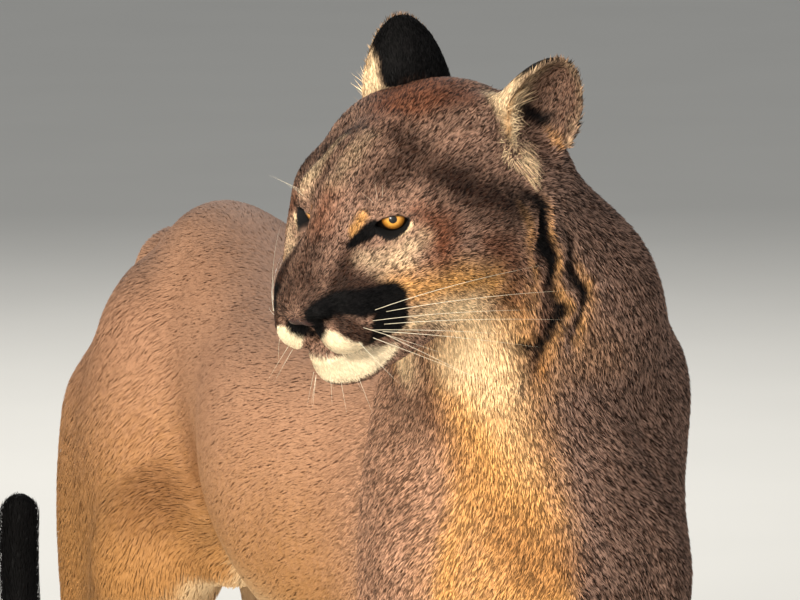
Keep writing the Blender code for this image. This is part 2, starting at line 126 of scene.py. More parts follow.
def limb(p, a, b, ra, rb, wide=1.0):
    """Distance to a tapered limb from a to b; wide stretches it along the first axis."""
    a, b = np.array(a, float), np.array(b, float)
    s = np.array([1.0 / wide, 1.0, 1.0])
    mid = np.array([(a[0] + b[0]) / 2, 0.0, 0.0])
    q, a, b = (p - mid) * s, (a - mid) * s, (b - mid) * s
    axis = b - a
    t = np.clip(((q - a) @ axis) / (axis @ axis), 0.0, 1.0)
    d = np.linalg.norm(q - a - t[:, None] * axis, axis=1) - (ra + (rb - ra) * t)
    return d * min(wide, 1.0)


def with_forms(p, d, forms):
    """Blends named forms into d: centre and radii, or two ends and their radii, then the blend."""
    for *shape, blend in forms.values():
        added = ball(p, *shape) if len(shape) == 2 else limb(p, shape[0], shape[1], *shape[2])
        d = union(d, added, blend)
    return d


# Torso stations: y, the spine's x, half width, top z, bottom z
TORSO = np.array([
    (-0.375, -0.022, 0.064, 0.615, 0.425),
    (-0.330, -0.013, 0.082, 0.650, 0.396),
    (-0.270, 0.000, 0.090, 0.670, 0.384),
    (-0.200, 0.010, 0.095, 0.668, 0.376),
    (-0.100, 0.015, 0.101, 0.653, 0.370),
    (0.000, 0.009, 0.108, 0.644, 0.374),
    (0.090, 0.002, 0.109, 0.645, 0.386),
    (0.180, 0.000, 0.098, 0.650, 0.402),
    (0.270, 0.000, 0.076, 0.665, 0.422),
    (0.360, -0.002, 0.064, 0.681, 0.442),
    (0.440, -0.004, 0.056, 0.681, 0.455),
    (0.510, -0.006, 0.044, 0.661, 0.472),
    (0.555, -0.008, 0.034, 0.634, 0.500),
    (0.590, -0.010, 0.025, 0.604, 0.535),
])


def through(y, ys, vs):
    """A smooth curve through stations."""
    slopes = np.gradient(vs, ys)
    i = np.clip(np.searchsorted(ys, y) - 1, 0, len(ys) - 2)
    h = ys[i + 1] - ys[i]
    t = np.clip((y - ys[i]) / h, 0.0, 1.0)
    t2, t3 = t * t, t * t * t
    return (
        (2 * t3 - 3 * t2 + 1) * vs[i]
        + (t3 - 2 * t2 + t) * h * slopes[i]
        + (-2 * t3 + 3 * t2) * vs[i + 1]
        + (t3 - t2) * h * slopes[i + 1]
    )


def torso(p):
    ys = TORSO[:, 0]
    y = np.clip(p[:, 1], ys[0], ys[-1])
    centre, half, top, low = (through(y, ys, TORSO[:, k]) for k in range(1, 5))
    mid = low + (top - low) * 0.50
    up = p[:, 2] - mid
    tall = np.where(up > 0, top - mid, mid - low)
    k = np.hypot((p[:, 0] - centre) / half, up / tall)
    d = (k - 1.0) * np.minimum(half, tall)
    over = p[:, 1] - y
    return np.where(np.abs(over) > 0, np.sqrt(np.maximum(d, 0) ** 2 + over**2) + np.minimum(d, 0), d)


# How far a shape stays inside the reach that it is looked for in, in metres
CLEAR_OF_REACH = 0.06


def within(p, centre, reach, field):
    """The field near the centre, and the bare distance from that neighbourhood elsewhere."""
    far = np.linalg.norm(p - np.asarray(centre), axis=1) - reach
    d = far + CLEAR_OF_REACH
    inside = far < 0
    if inside.any():
        d[inside] = field(p[inside])
    return d


FRONT_TURN = math.radians(11)
FRONT_PIVOT = np.array([0.0, -0.27, 0.0])
FRONT_AXES = np.array([
    (math.cos(FRONT_TURN), math.sin(-FRONT_TURN), 0.0),
    (math.sin(FRONT_TURN), math.cos(FRONT_TURN), 0.0),
    (0.0, 0.0, 1.0),
])


def foreleg(p, side, step):
    """side is -1 on the right; step moves the paw forward."""
    q = ((p - FRONT_PIVOT) @ FRONT_AXES.T + FRONT_PIVOT) * np.array([side, 1.0, 1.0])
    point, elbow = (0.060, -0.342, 0.510), (0.072, -0.222, 0.405)
    wrist = (0.064, -0.252 - 0.5 * step, 0.140)
    knuckle = (0.064, -0.276 - step, 0.052)
    d = limb(q, (0.044, -0.235, 0.640), (0.064, -0.332, 0.520), 0.036, 0.044, 0.7)
    d = with_forms(q, d, {
        "shoulder blade": ((0.062, -0.270, 0.560), (0.033, 0.075, 0.095), 0.03),
        "triceps": ((0.070, -0.250, 0.465), (0.034, 0.075, 0.080), 0.03),
        "upper arm": (point, elbow, (0.043, 0.044, 0.8), 0.03),
        "forearm": (elbow, wrist, (0.047, 0.0305, 0.88), 0.03),
        "forearm muscle": ((0.072, -0.232, 0.345), (0.032, 0.044, 0.080), 0.03),
        "pastern": (wrist, knuckle, (0.0320, 0.0315, 1.12), 0.02),
    })
    return union(d, paw(q, knuckle, FOREPAW_SIZE), 0.015)


FOREPAW_SIZE, HINDPAW_SIZE = 1.12, 1.06
# Each toe: how far across, how far forward, how thick
TOES = ((-0.0265, 0.038, 0.0145), (-0.0095, 0.055, 0.0160), (0.0100, 0.055, 0.0160), (0.0270, 0.038, 0.0145))


def paw(q, knuckle, size):
    x, y = knuckle[:2]
    d = ball(q, (x, y - 0.010, 0.024), (0.037 * size, 0.044 * size, 0.030))
    for across, reach, wide in TOES:
        back = (x + across * size * 0.8, y - 0.008, 0.031)
        front = (x + across * size, y - reach * size, 0.0185)
        d = union(d, limb(q, back, front, wide * size, (wide + 0.001) * size), 0.005)
    return d


def hindleg(p, side, step):
    q = (p - np.array([-0.008, 0, 0])) * np.array([side, 1.0, 1.0])
    hip, knee = (0.046, 0.450, 0.555), (0.076, 0.340, 0.415)
    hock = (0.074, 0.545 + 0.7 * step, 0.205)
    knuckle = (0.072, 0.492 + step, 0.050)
    d = with_forms(q, ball(q, (0.045, 0.462, 0.520), (0.037, 0.088, 0.100)), {
        "rump": (hip, knee, (0.050, 0.044, 0.80), 0.04),
        "thigh": ((0.066, 0.450, 0.440), (0.044, 0.095, 0.105), 0.04),
        "hamstring": ((0.062, 0.52, 0.50), (0.078, 0.505 + 0.4 * step, 0.32), (0.043, 0.040, 0.8), 0.04),
        "flank fold": ((0.070, 0.330, 0.430), (0.050, 0.235, 0.430), (0.034, 0.018), 0.04),
        "shin": (knee, hock, (0.049, 0.0300, 0.84), 0.04),
        "foot": (hock, knuckle, (0.0290, 0.0295), 0.02),
    })
    return union(d, paw(q, knuckle, HINDPAW_SIZE), 0.015)


# The tail's course: it hangs from the rump, sweeps back and curls up at its tip
TAIL = np.array([
    (-0.010, 0.548, 0.606),
    (-0.010, 0.610, 0.578),
    (-0.013, 0.655, 0.508),
    (-0.016, 0.682, 0.405),
    (-0.020, 0.714, 0.300),
    (-0.025, 0.764, 0.212),
    (-0.028, 0.835, 0.167),
    (-0.030, 0.905, 0.172),
    (-0.032, 0.953, 0.222),
    (-0.032, 0.970, 0.289),
    (-0.032, 0.968, 0.345),
])
TAIL_RADIUS, ROOT_SWELL, ROOT_FADE = 0.0195, 0.013, 9.0
TAIL_PARTS = 30


def tail_course(at):
    """Points of the tail's middle line at these places along its stations."""
    return np.stack([through(at, np.arange(len(TAIL), dtype=float), TAIL[:, k]) for k in range(3)], 1)


def tail(p):
    at = np.linspace(0, len(TAIL) - 1, TAIL_PARTS + 1)
    course = tail_course(at)
    radius = TAIL_RADIUS + ROOT_SWELL * np.exp(-at / at[-1] * ROOT_FADE)
    d = np.full(len(p), 1.0)
    for i in range(TAIL_PARTS):
        d = np.minimum(d, limb(p, course[i], course[i + 1], radius[i], radius[i + 1]))
    return d


def neck(p):
    return with_forms(p, limb(p, (0.004, -0.262, 0.575), from_head((0, -112, -58)), 0.094, 0.058), {
        "crest": ((0.004, -0.215, 0.620), from_head((0, -124, -44)), (0.058, 0.042), 0.04),
        "left side": ((0.048, -0.262, 0.630), (0.001, -0.327, 0.697), (0.070, 0.063), 0.04),
        "nape": ((0.001, -0.327, 0.697), from_head((28, -97, -79)), (0.063, 0.046), 0.04),
        "throat": ((-0.012, -0.340, 0.540), from_head((0, -62, -70)), (0.066, 0.036), 0.05),
        "breast": ((-0.014, -0.325, 0.520), (0.074, 0.105, 0.115), 0.05),
    })


# Forms of the head in its own axes, in millimetres; those off the midline are on both sides
HEAD_FORMS = {
    "forehead": ((0, -26, 0), (43, 46, 37), 12),
    "ear root": ((38, -70, 2), (22, 46, 26), 14),
    "nose bridge": ((0, 4, 0), (0, 62, -29), (22, 17.5), 14),
    "top of the bridge": ((0, 10, 9.8), (0, 54, -15.5), (18, 13), 8),
    "brow": ((27.5, -1, 11.5), (13.5, 17, 10), 10),
    "temple": ((45, -24, -4), (16, 26, 22), 14),
    "upper jaw": ((15, 34, -36), (26, 42, 30), 12),
    "cheekbone": ((32, 12, -26), (56, -46, -30), (12, 18), 18),
    "cheek": ((42, -30, -40), (28, 56, 40), 18),
    "side of the mouth": ((32, 10, -50), (20, 40, 26), 16),
    "jowl": ((48, -80, -46), (28, 40, 38), 20),
    "whisker pad": ((17, 56, -49), (18, 26, 18.5), 9),
    "nose": ((0, 71, -27), (18.5, 16, 13.5), 6),
    "wing of the nose": ((7, 78, -30), (12, 77, -31), (8.5, 7.5), 4),
}
JAW_FORMS = {
    "lower lip": ((0, 64, -67), (14, 14, 10), 6),
    "jawbone": ((12, 48, -80), (42, -42, -68), (14, 24), 14),
    "throat": ((0, -20, -76), (34, 66, 20), 16),
}
JAW_BLEND = 3.5


def skull(m):
    """The head without its ears; m is in the head's own axes, in millimetres, and mirrored to one side."""
    braincase = ball(m, (0, -70, -6), (54, 70, 43))
    chin = ball(m, (0, 56, -77), (16.5, 19.5, 18))
    return union(with_forms(m, braincase, HEAD_FORMS), with_forms(m, chin, JAW_FORMS), JAW_BLEND)


EYE_AT = np.array([26.8, 0.8, -2.2])
EYE_OUT = math.radians(33)
EYE_AXES = np.array([
    (math.cos(EYE_OUT), -math.sin(EYE_OUT), 0.0),
    (math.sin(EYE_OUT), math.cos(EYE_OUT), 0.0),
    (0.0, 0.0, 1.0),
])
# The lids are a ball round the eye with a slit between two arcs, each with its own radius and middle
LID_RADIUS = 15.6
SLIT_TILT = math.radians(8)
UPPER_ARC, UPPER_DROP, UPPER_SHIFT = 15.6, 11.6, 2.6
LOWER_ARC, LOWER_RISE = 12.4, 5.6
# How near to the eyeball's middle the slit is cut
SLIT_FLOOR = 2.0


def slit(a):
    """By an eye: how far points are outside the slit, along it, above it, and out of the eyeball's middle."""
    e = (a - EYE_AT) @ EYE_AXES.T
    c, s = math.cos(SLIT_TILT), math.sin(SLIT_TILT)
    along, above = e[:, 0] * c + e[:, 2] * s, e[:, 2] * c - e[:, 0] * s
    upper = np.hypot(along + UPPER_SHIFT, above + UPPER_DROP) - UPPER_ARC
    lower = np.hypot(along, above - LOWER_RISE) - LOWER_ARC
    return np.maximum(upper, lower), along, above, e[:, 1]


def lids(m, d):
    d = union(d, ball(m, EYE_AT, (LID_RADIUS,) * 3), 6)
    outside, _, _, out = slit(m)
    return cut(d, np.maximum(outside, SLIT_FLOOR - out), 1.5)


# Points of the mouth line from the middle to the corner, with the groove's radius
LIPS = (
    (0, 82, -61, 1.6),
    (10, 82, -64.5, 1.6),
    (22, 73, -67.5, 1.6),
    (32, 53, -68.5, 1.5),
    (38, 36, -64, 0.9),
)
# Grooves of the nose: two ends and the radius at each
PHILTRUM = ((0, 90, -42), (0, 84, -60), 1.4, 1.6)
NOSTRIL = ((7, 93, -33), (15, 80, -36), 3.2, 2.6)
NOSTRIL_HOLE = ((9, 92, -34), (16, 84, -36), 2.6, 1.6)


def mouth(m, d):
    for a, b in zip(LIPS, LIPS[1:]):
        d = cut(d, limb(m, a[:3], b[:3], a[3], b[3]), 2.0)
    for groove in (PHILTRUM, NOSTRIL):
        d = cut(d, limb(m, *groove), 2.0)
    return d


def face(p):
    m = in_head(p)
    m[:, 0] = np.abs(m[:, 0])
    return mouth(m, lids(m, skull(m))) * MM


EAR_RIM, EAR_TAPER = 3.0, 0.22
# The left ear and the right one, in the head's own axes: its root, the way from there to its tip, and the way
# that it opens
EARS = (
    {"base": (50.5, -108.5, -20.5), "rise": (28.5, -30, 50), "opening": (0.80, 0.50, 0.15)},
    {"base": (-46, -121, -14), "rise": (-11.5, -33, 60), "opening": (-0.80, -0.50, -0.30)},
)


def ear_axes(spec):
    """An ear's root, its own axes (across, out of the opening, and up) and its height."""
    rise = np.array(spec["rise"], float)
    tall = np.linalg.norm(rise)
    up = rise / tall
    out = unit(np.array(spec["opening"]) - np.dot(spec["opening"], up) * up)
    return np.array(spec["base"], float), np.stack([np.cross(up, out), out, up]), tall


def ear_cup(m, spec):
    """Distances to an ear's shell and to the hollow in it."""
    base, turn, tall = ear_axes(spec)
    q = (m - base) @ turn.T
    q[:, 0] *= 1.0 + EAR_TAPER * np.clip(q[:, 2] / tall, -0.5, 1.2)
    shell = ball(q, (0, -3, tall * 0.26), (32, 23, tall * 0.74))
    return shell, ball(q, (0, 9, tall * 0.31), (27.5, 25, tall * 0.70))


def near_ear(p, spec, reach):
    """Distance to an ear, within reach of its root."""
    return within(p, from_head(spec["base"]), reach, lambda q: cut(*ear_cup(in_head(q), spec), EAR_RIM) * MM)


# How far each paw is set forward, the right one first
FORE_STEPS, HIND_STEPS = (0.02, -0.015), (-0.01, 0.045)


def forelegs(p):
    return [within(p, (0.06 * side, -0.27, 0.34), 0.46, lambda q: foreleg(q, side, step))
            for side, step in zip((-1, 1), FORE_STEPS)]


def hindlegs(p):
    return [within(p, (0.06 * side, 0.43, 0.32), 0.48, lambda q: hindleg(q, side, step))
            for side, step in zip((-1, 1), HIND_STEPS)]


def near_tail(p):
    return within(p, (-0.03, 0.75, 0.39), 0.42, tail)


def body(p):
    d = union(torso(p), within(p, (-0.06, -0.32, 0.64), 0.36, neck), 0.045)
    for leg in forelegs(p):
        d = union(d, leg, 0.03)
    for leg in hindlegs(p):
        d = union(d, leg, 0.035)
    return union(d, near_tail(p), 0.02)


def whole(p):
    d = union(body(p), within(p, from_head((0, -30, -20)), 0.26, face), 0.018)
    for spec in EARS:
        d = union(d, near_ear(p, spec, 0.16), 0.008)
    return d


def signed_grid(field, low, high, step):
    """Values of the field on a grid, worked out only near the surface and clipped further off."""
    coarse, band = 4, 3 * step
    low, high = np.array(low, float), np.array(high, float)
    n = np.ceil((high - low) / (step * coarse)).astype(int) + 1
    axes = [low[k] + np.arange(n[k]) * step * coarse for k in range(3)]
    sparse = sampled(field, np.stack(np.meshgrid(*axes, indexing="ij"), -1).reshape(-1, 3)).reshape(n)
    nearest = [np.minimum((np.arange(n[k] * coarse) + coarse // 2) // coarse, n[k] - 1) for k in range(3)]
    grid = (np.sign(sparse) * band)[np.ix_(*nearest)].astype(np.float32)
    cells = np.argwhere(np.abs(sparse) < step * coarse * 1.9)
    offsets = np.stack(np.meshgrid(*[np.arange(coarse)] * 3, indexing="ij"), -1).reshape(-1, 3) - coarse // 2
    index = (cells[:, None, :] * coarse + offsets[None]).reshape(-1, 3)
    index = index[(index >= 0).all(1) & (index < n * coarse).all(1)]
    grid[tuple(index.T)] = np.clip(sampled(field, low + index * step), -band, band)
    return grid


# How many points are worked out at a time
AT_A_TIME = 200000


def sampled(field, points):
    return np.concatenate([field(part) for part in np.array_split(points, max(1, len(points) // AT_A_TIME))])


def surface(field, low, high, step):
    """Points and outward quads of the surface where the field is zero, inside a box."""
    grid = openvdb.FloatGrid(3 * step)
    grid.copyFromArray(signed_grid(field, low, high, step))
    points, quads = grid.convertToQuads(0.0)
    return np.array(low) + np.asarray(points) * step, np.asarray(quads)


# Where the modelling axes lie in the frame, from the place of one eye
EYE_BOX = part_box("eye_left")
SHIFT = np.array((EYE_BOX[0] + EYE_BOX[1]) / 2) - from_head(EYE_AT)


def smooth(x, low, high):
    """0 below low, 1 above high, and an even curve between."""
    t = np.clip((x - low) / (high - low), 0.0, 1.0)
    return t * t * (3 - 2 * t)


def fading(x, low, high):
    """1 below low, 0 above high, and an even curve between."""
    return 1.0 - smooth(x, low, high)


def patch(m, centre, radii, soft=0.35):
    """1 inside an ellipsoid, 0 outside, with a soft edge as a share of its radius."""
    k = np.linalg.norm((m - np.asarray(centre, float)) / np.asarray(radii, float), axis=1)
    return fading(k, 1.0 - soft, 1.0 + soft)


def streak(m, a, b, ra, rb, soft=4.0):
    """1 along a tapered limb from a to b, 0 outside, with an edge of soft millimetres."""
    return fading(limb(m, a, b, ra, rb), -soft / 2, soft / 2)


def mirrored(m):
    """Points of the head brought to its left side."""
    return m * np.array([0.0, 1.0, 1.0]) + np.abs(m[:, :1]) * np.array([1.0, 0.0, 0.0])


# What the smooth noise and the random draws start from
NOISE_SEED, COAT_SEED, TUFT_SEED, WHISKER_SEED = 5, 7, 11, 3


def rough(points, scale, away=0.0):
    """Smooth noise vectors at the points, about 0.5 in size, taken away from the noise's middle."""
    noise.seed_set(NOISE_SEED)
    offset = Vector((away, away * 1.7, away * 0.3))
    return np.array([noise.noise_vector(Vector(v) * scale + offset) for v in points.tolist()])


# How far the coat stands over the skin, in millimetres
DEPTH_BODY, DEPTH_HEAD, DEPTH_FACE, DEPTH_EAR = 4.6, 2.6, 1.3, 1.0
THINNER_ON_FEET, LEAST_DEPTH = 2.9, 0.25


def head_share(m):
    """1 on the head, 0 behind it."""
    return smooth(m[:, 1] * 0.72 + m[:, 2] * 0.70, -118.0, -70.0)


def coat_depth(p, m):
    """How far the coat stands over the skin, in metres."""
    a = mirrored(m)
    on_head = head_share(m)
    on_face = smooth(m[:, 1], -30.0, 35.0) * on_head
    depth = DEPTH_BODY + (DEPTH_HEAD - DEPTH_BODY) * on_head
    depth = depth + (DEPTH_FACE - depth) * on_face
    bare = np.maximum(patch(a, EYE_AT + np.array([0, 6, 0]), (26, 24, 18)), nose_leather(a))
    bare = np.maximum(bare, streak(a, (0, 84, -58), (26, 68, -68), 5, 5) * 0.7)
    depth = depth * (1.0 - 0.8 * bare)
    ears = np.min([near_ear(p, spec, 0.12) for spec in EARS], 0)
    risen = np.max([ear_frame(m, spec)[:, 2] for spec in EARS], 0)
    on_ear = fading(ears, 0.0, 0.012) * smooth(risen, 0.0, 0.25)
    depth = depth + (DEPTH_EAR - depth) * on_ear
    feet = fading(p[:, 2], 0.04, 0.16)
    return np.maximum(depth - THINNER_ON_FEET * feet * (1 - on_head), LEAST_DEPTH) / 1000.0


def nose_leather(a):
    """The bare skin of the nose and of the groove below it."""
    below = streak(a, (0, 88, -42), (0, 84, -60), 2.2, 1.6, 2)
    return np.maximum(patch(a, (0, 91, -40), (13.5, 12, 11), 0.2), below)


# Creases of loose skin behind the cheek, and the furrow over each brow: courses of points with the groove's
# half width at each, and its depth in millimetres
FOLDS = (
    (((73, -74, -28, 4), (73, -80, -46, 5), (72, -79, -68, 7), (70, -79, -86, 6), (68, -80, -118, 5),
      (60, -59, -136, 5), (55, -45, -154, 3)), 5.0),
    (((74, -96, -62, 2), (73, -98, -88, 5), (70, -98, -120, 5), (63, -84, -144, 3)), 4.0),
    (((70, -62, -70, 2), (68, -63, -92, 4), (63, -55, -116, 4), (55, -38, -134, 2)), 3.5),
    (((50, -46, -126, 2), (58, -60, -134, 5), (56, -54, -148, 3)), 4.0),
    (((66, -72, -112, 3), (64, -66, -132, 5), (56, -54, -146, 3)), 4.0),
    (((23, 18, 7, 2), (17, 10, 22, 3), (12, -10, 32, 3), (11, -30, 37, 2)), 1.2),
)


def fold_depth(a):
    """How deep the creases are at points of the head and neck, as a share of the deepest."""
    wavy = a + np.sin(a[:, 2:3] * 0.16 + a[:, 1:2] * 0.05) * np.array([0.0, 3.0, 0.0])
    found = np.zeros(len(a))
    for course, deep in FOLDS:
        found = np.maximum(found, course_share(wavy, course, 2 * course[1][3]) * deep)
    return found / FOLDS[0][1]


def fine_face(a, d):
    """Small forms of the head that the solids are too coarse for; d and a are in millimetres."""
    d = cut(d, limb(a, *NOSTRIL_HOLE), 1.5)
    return d + fold_depth(a) * FOLDS[0][1]


# Fine forms are cut this near to the skin, ahead of these places in the head's axes and in the body's
FINE_REACH, FINE_BEHIND, FINE_BELOW, FINE_FRONT = 0.02, -120, -190, -0.1


def skin_field(p):
    """Distance to the skin, which lies inside the coat."""
    m = in_head(p)
    d = whole(p) + coat_depth(p, m)
    near = (np.abs(d) < FINE_REACH) & (p[:, 1] < FINE_FRONT)
    near &= (m[:, 1] > FINE_BEHIND) & (m[:, 2] > FINE_BELOW)
    if near.any():
        d[near] = fine_face(mirrored(m[near]), d[near] / MM) * MM
    return d


# The skin is worked out in two boxes, in steps of these sizes, and parted at a seam across the neck
HEAD_STEP, BODY_STEP = 0.0015, 0.0042
HEAD_BOX = (from_head((0, -42, -16)) - 0.195, from_head((0, -42, -16)) + 0.195)
BODY_BOX = ((-0.26, -0.56, -0.022), (0.20, 1.03, 0.97))
NECK_SEAM = (from_head((0, -104, -46)), unit(0.72 * AXES[1] + 0.70 * AXES[2]))
SEAM_WIDTH = 0.003


def one_side(points, quads, at, normal):
    """The part of a surface on the side of a plane that its normal points to, as points and faces."""
    bm = bmesh.new()
    verts = [bm.verts.new(p) for p in points.tolist()]
    for q in quads.tolist():
        bm.faces.new([verts[i] for i in q])
    bmesh.ops.bisect_plane(bm, geom=bm.verts[:] + bm.edges[:] + bm.faces[:], dist=1e-7, plane_co=Vector(at),
                           plane_no=Vector(normal), clear_inner=True)
    keep_largest(bm)
    bm.verts.index_update()
    out = [tuple(v.co) for v in bm.verts], [[v.index for v in f.verts] for f in bm.faces]
    bm.free()
    return out


def keep_largest(bm):
    """Deletes every separate piece but the one with the most points."""
    bm.verts.index_update()
    seen, groups = set(), []
    for start in bm.verts:
        if start.index in seen:
            continue
        seen.add(start.index)
        group, ahead = [], [start]
        while ahead:
            v = ahead.pop()
            group.append(v)
            for e in v.link_edges:
                w = e.other_vert(v)
                if w.index not in seen:
                    seen.add(w.index)
                    ahead.append(w)
        groups.append(group)
    groups.sort(key=len)
    bmesh.ops.delete(bm, geom=[v for g in groups[:-1] for v in g], context="VERTS")


def open_edge(faces):
    """The points round the open edge of a surface, in order."""
    ends = {}
    for f in faces:
        for a, b in zip(f, f[1:] + f[:1]):
            if (b, a) in ends:
                del ends[(b, a)]
            else:
                ends[(a, b)] = True
    after = {a: b for a, b in ends}
    start = next(iter(after))
    loop = [start]
    while after[loop[-1]] != start:
        loop.append(after[loop[-1]])
    return loop


def joined(front, back):
    """Two surfaces with open edges that face each other, sewn together."""
    points = list(front[0]) + list(back[0])
    moved = [[i + len(front[0]) for i in f] for f in back[1]]
    a = open_edge(front[1])[::-1]
    b = open_edge(moved)
    co = np.array(points)
    turn = int(np.argmin(np.linalg.norm(co[b] - co[a[0]], axis=1)))
    b = b[turn:] + b[:turn]
    faces = list(front[1]) + moved
    i = j = 0
    lengths = [np.append(np.cumsum(np.linalg.norm(co[x] - co[x[1:] + x[:1]], axis=1)), 9e9) for x in (a, b)]
    lengths = [v / v[-2] for v in lengths]
    while i < len(a) or j < len(b):
        if j >= len(b) or (i < len(a) and lengths[0][i] <= lengths[1][j]):
            faces.append([a[i % len(a)], a[(i + 1) % len(a)], b[j % len(b)]])
            i += 1
        else:
            faces.append([a[i % len(a)], b[(j + 1) % len(b)], b[j % len(b)]])
            j += 1
    return points, faces


CREAM, BLACK, RUFOUS, GREY, BROWN, GOLDEN, BARE, WHITE = range(8)
# The head's markings on one side, with a few patches of painted light and shade among them, in the head's own
# axes and millimetres: the colour, a course of points with the mark's radius at each, how far its edge fades,
# and its strength
FACE_MARKS_AND_PAINTED_LIGHT = (
    (RUFOUS, ((0, -98, 28, 22), (4, -72, 38, 24), (24, -88, 32, 16)), 26, 0.8),
    (RUFOUS, ((8, -42, 38, 8), (6, -60, 38, 12)), 22, 0.45),
    (CREAM, ((2, 16, 22, 4), (2, -4, 31, 5), (3, -24, 37, 3)), 14, 0.16),
    # Painted light: the right side of the forehead and brow is paler, as where it is lit.
    (CREAM, ((-29, 12, 19, 6), (-30, -6, 25, 8), (-26, -22, 31, 5)), 16, 0.34),
    (BROWN, ((26, 2, 24, 8), (36, -24, 27, 14), (20, -32, 34, 10)), 26, 0.95),
    (RUFOUS, ((0, 22, 18, 7), (0, 42, 6, 9)), 14, 0.5),
    (BROWN, ((0, 50, 1, 8), (0, 66, -8, 13), (8, 78, -18, 13)), 24, 0.8),
    (BROWN, ((19, 46, -8, 5), (23, 64, -18, 11), (38, 52, -27, 7)), 15, 1.0),
    (BROWN, ((21, 17, 9, 2), (17, 10, 22, 3), (13, 0, 29, 3), (12, -19, 36, 2.5), (8, -38, 38, 2)), 8, 0.8),
    (BROWN, ((0, 12, 24, 8), (3, -10, 32, 9), (10, -26, 36, 9)), 22, 0.32),
    # Partly the temple's own dark colour and partly painted shade.
    (BROWN, ((36, -10, 28, 4), (54, -22, 10, 15), (66, -34, -6, 17), (76, -50, -26, 14)), 32, 1.0),
    (BROWN, ((40, -60, 26, 8), (18, -96, 32, 8)), 26, 0.4),
    (RUFOUS, ((50, 4, 0, 3), (61, 0, -14, 9), (60, 8, -27, 7)), 24, 0.9),
    (BROWN, ((50, 2, -3, 3), (62, -6, -16, 7)), 22, 0.45),
    (RUFOUS, ((68, -26, -38, 6), (72, -40, -52, 9), (71, -48, -74, 10), (61, -49, -98, 10)), 22, 0.70),
    (RUFOUS, ((82, -66, -60, 8), (76, -70, -110, 11), (60, -50, -146, 8)), 20, 0.75),
    (GOLDEN, ((17, 33, -1, 3), (20.5, 23, 5.5, 3.4)), 5, 0.8),
    (GOLDEN, ((44, 40, -31, 5), (52, 25, -42, 8), (63, 2, -50, 11), (65, -26, -70, 13)), 26, 0.85),
    (GOLDEN, ((76, -60, -30, 3), (77, -63, -46, 4), (75, -60, -70, 5)), 9, 0.7),
    (GOLDEN, ((70, -40, -88, 12), (62, -40, -116, 16), (56, -34, -140, 14)), 30, 0.9),
    (CREAM, ((44, 34, -62, 6), (54, 16, -66, 9), (52, -8, -80, 13), (40, -24, -106, 16), (28, -24, -126, 18)),
     28, 0.9),
    (CREAM, ((28, 43, -13, 4), (35, 37, -19, 7), (43, 25, -19, 7), (49, 10, -15, 3)), 17, 0.32),
    (CREAM, ((31, 25, -13, 0.8), (38, 18, -12, 1.3), (45, 9, -6, 1.0)), 2, 0.75),
    (BROWN, ((22, 77, -33, 6), (28, 74, -42, 7), (32, 62, -58, 7)), 8, 0.95),
    (WHITE, ((10, 82, -49, 6), (17, 80, -50, 9), (22, 73, -58, 8.5), (25, 65, -65, 4)), 4, 1.0),
    (WHITE, ((0, 76, -74, 10), (14, 66, -76, 11), (26, 52, -77, 8), (32, 42, -76, 4)), 8, 1.0),
    (BLACK, ((24, 19, -3, 4.8), (22, 29, -4, 4.6), (18.6, 42, -4.6, 2.4)), 2.5, 1.0),
    (BLACK, ((44, 7, -0.6, 1.4), (55, 0, -1.6, 0.4)), 3, 0.8),
    (BLACK, ((4, 80, -44, 7), (10, 83, -38, 7), (12, 83, -29, 7), (22, 74, -25, 7.5), (34, 62, -31, 9),
             (44, 45, -37, 10)), 6, 1.0),
    (BLACK, ((44, 45, -38, 10), (41, 50, -50, 13), (35, 53, -60, 11), (28, 54, -68, 5)), 5, 1.0),
    (BLACK, ((0, 83, -42, 6), (0, 75, -50, 5), (0, 74, -54, 3)), 3, 1.0),
    # Partly dark colour and partly painted shade, from the temple back towards the jaw.
    (BLACK, ((66, -50, -14, 6), (72, -64, -32, 8), (74, -80, -44, 8)), 24, 0.65),
)


def course_share(m, course, soft):
    """1 within the radii of a course of points, 0 outside, with a soft edge."""
    found = np.zeros(len(m))
    for a, b in zip(course, course[1:]):
        found = np.maximum(found, streak(m, a[:3], b[:3], a[3], b[3], soft))
    return found


def lay(shares, colour, amount):
    """Raises a colour's share where this amount is more."""
    shares[colour] = np.maximum(shares[colour], amount)


# Courses on the throat and breast, in millimetres, with the radius at each point
THROAT_COURSE = ((-84, -408, 690, 20), (-64, -420, 650, 12), (-50, -425, 610, 4))
BREAST_COURSE = ((-100, -380, 640, 8), (-78, -410, 590, 12), (-40, -430, 545, 22))


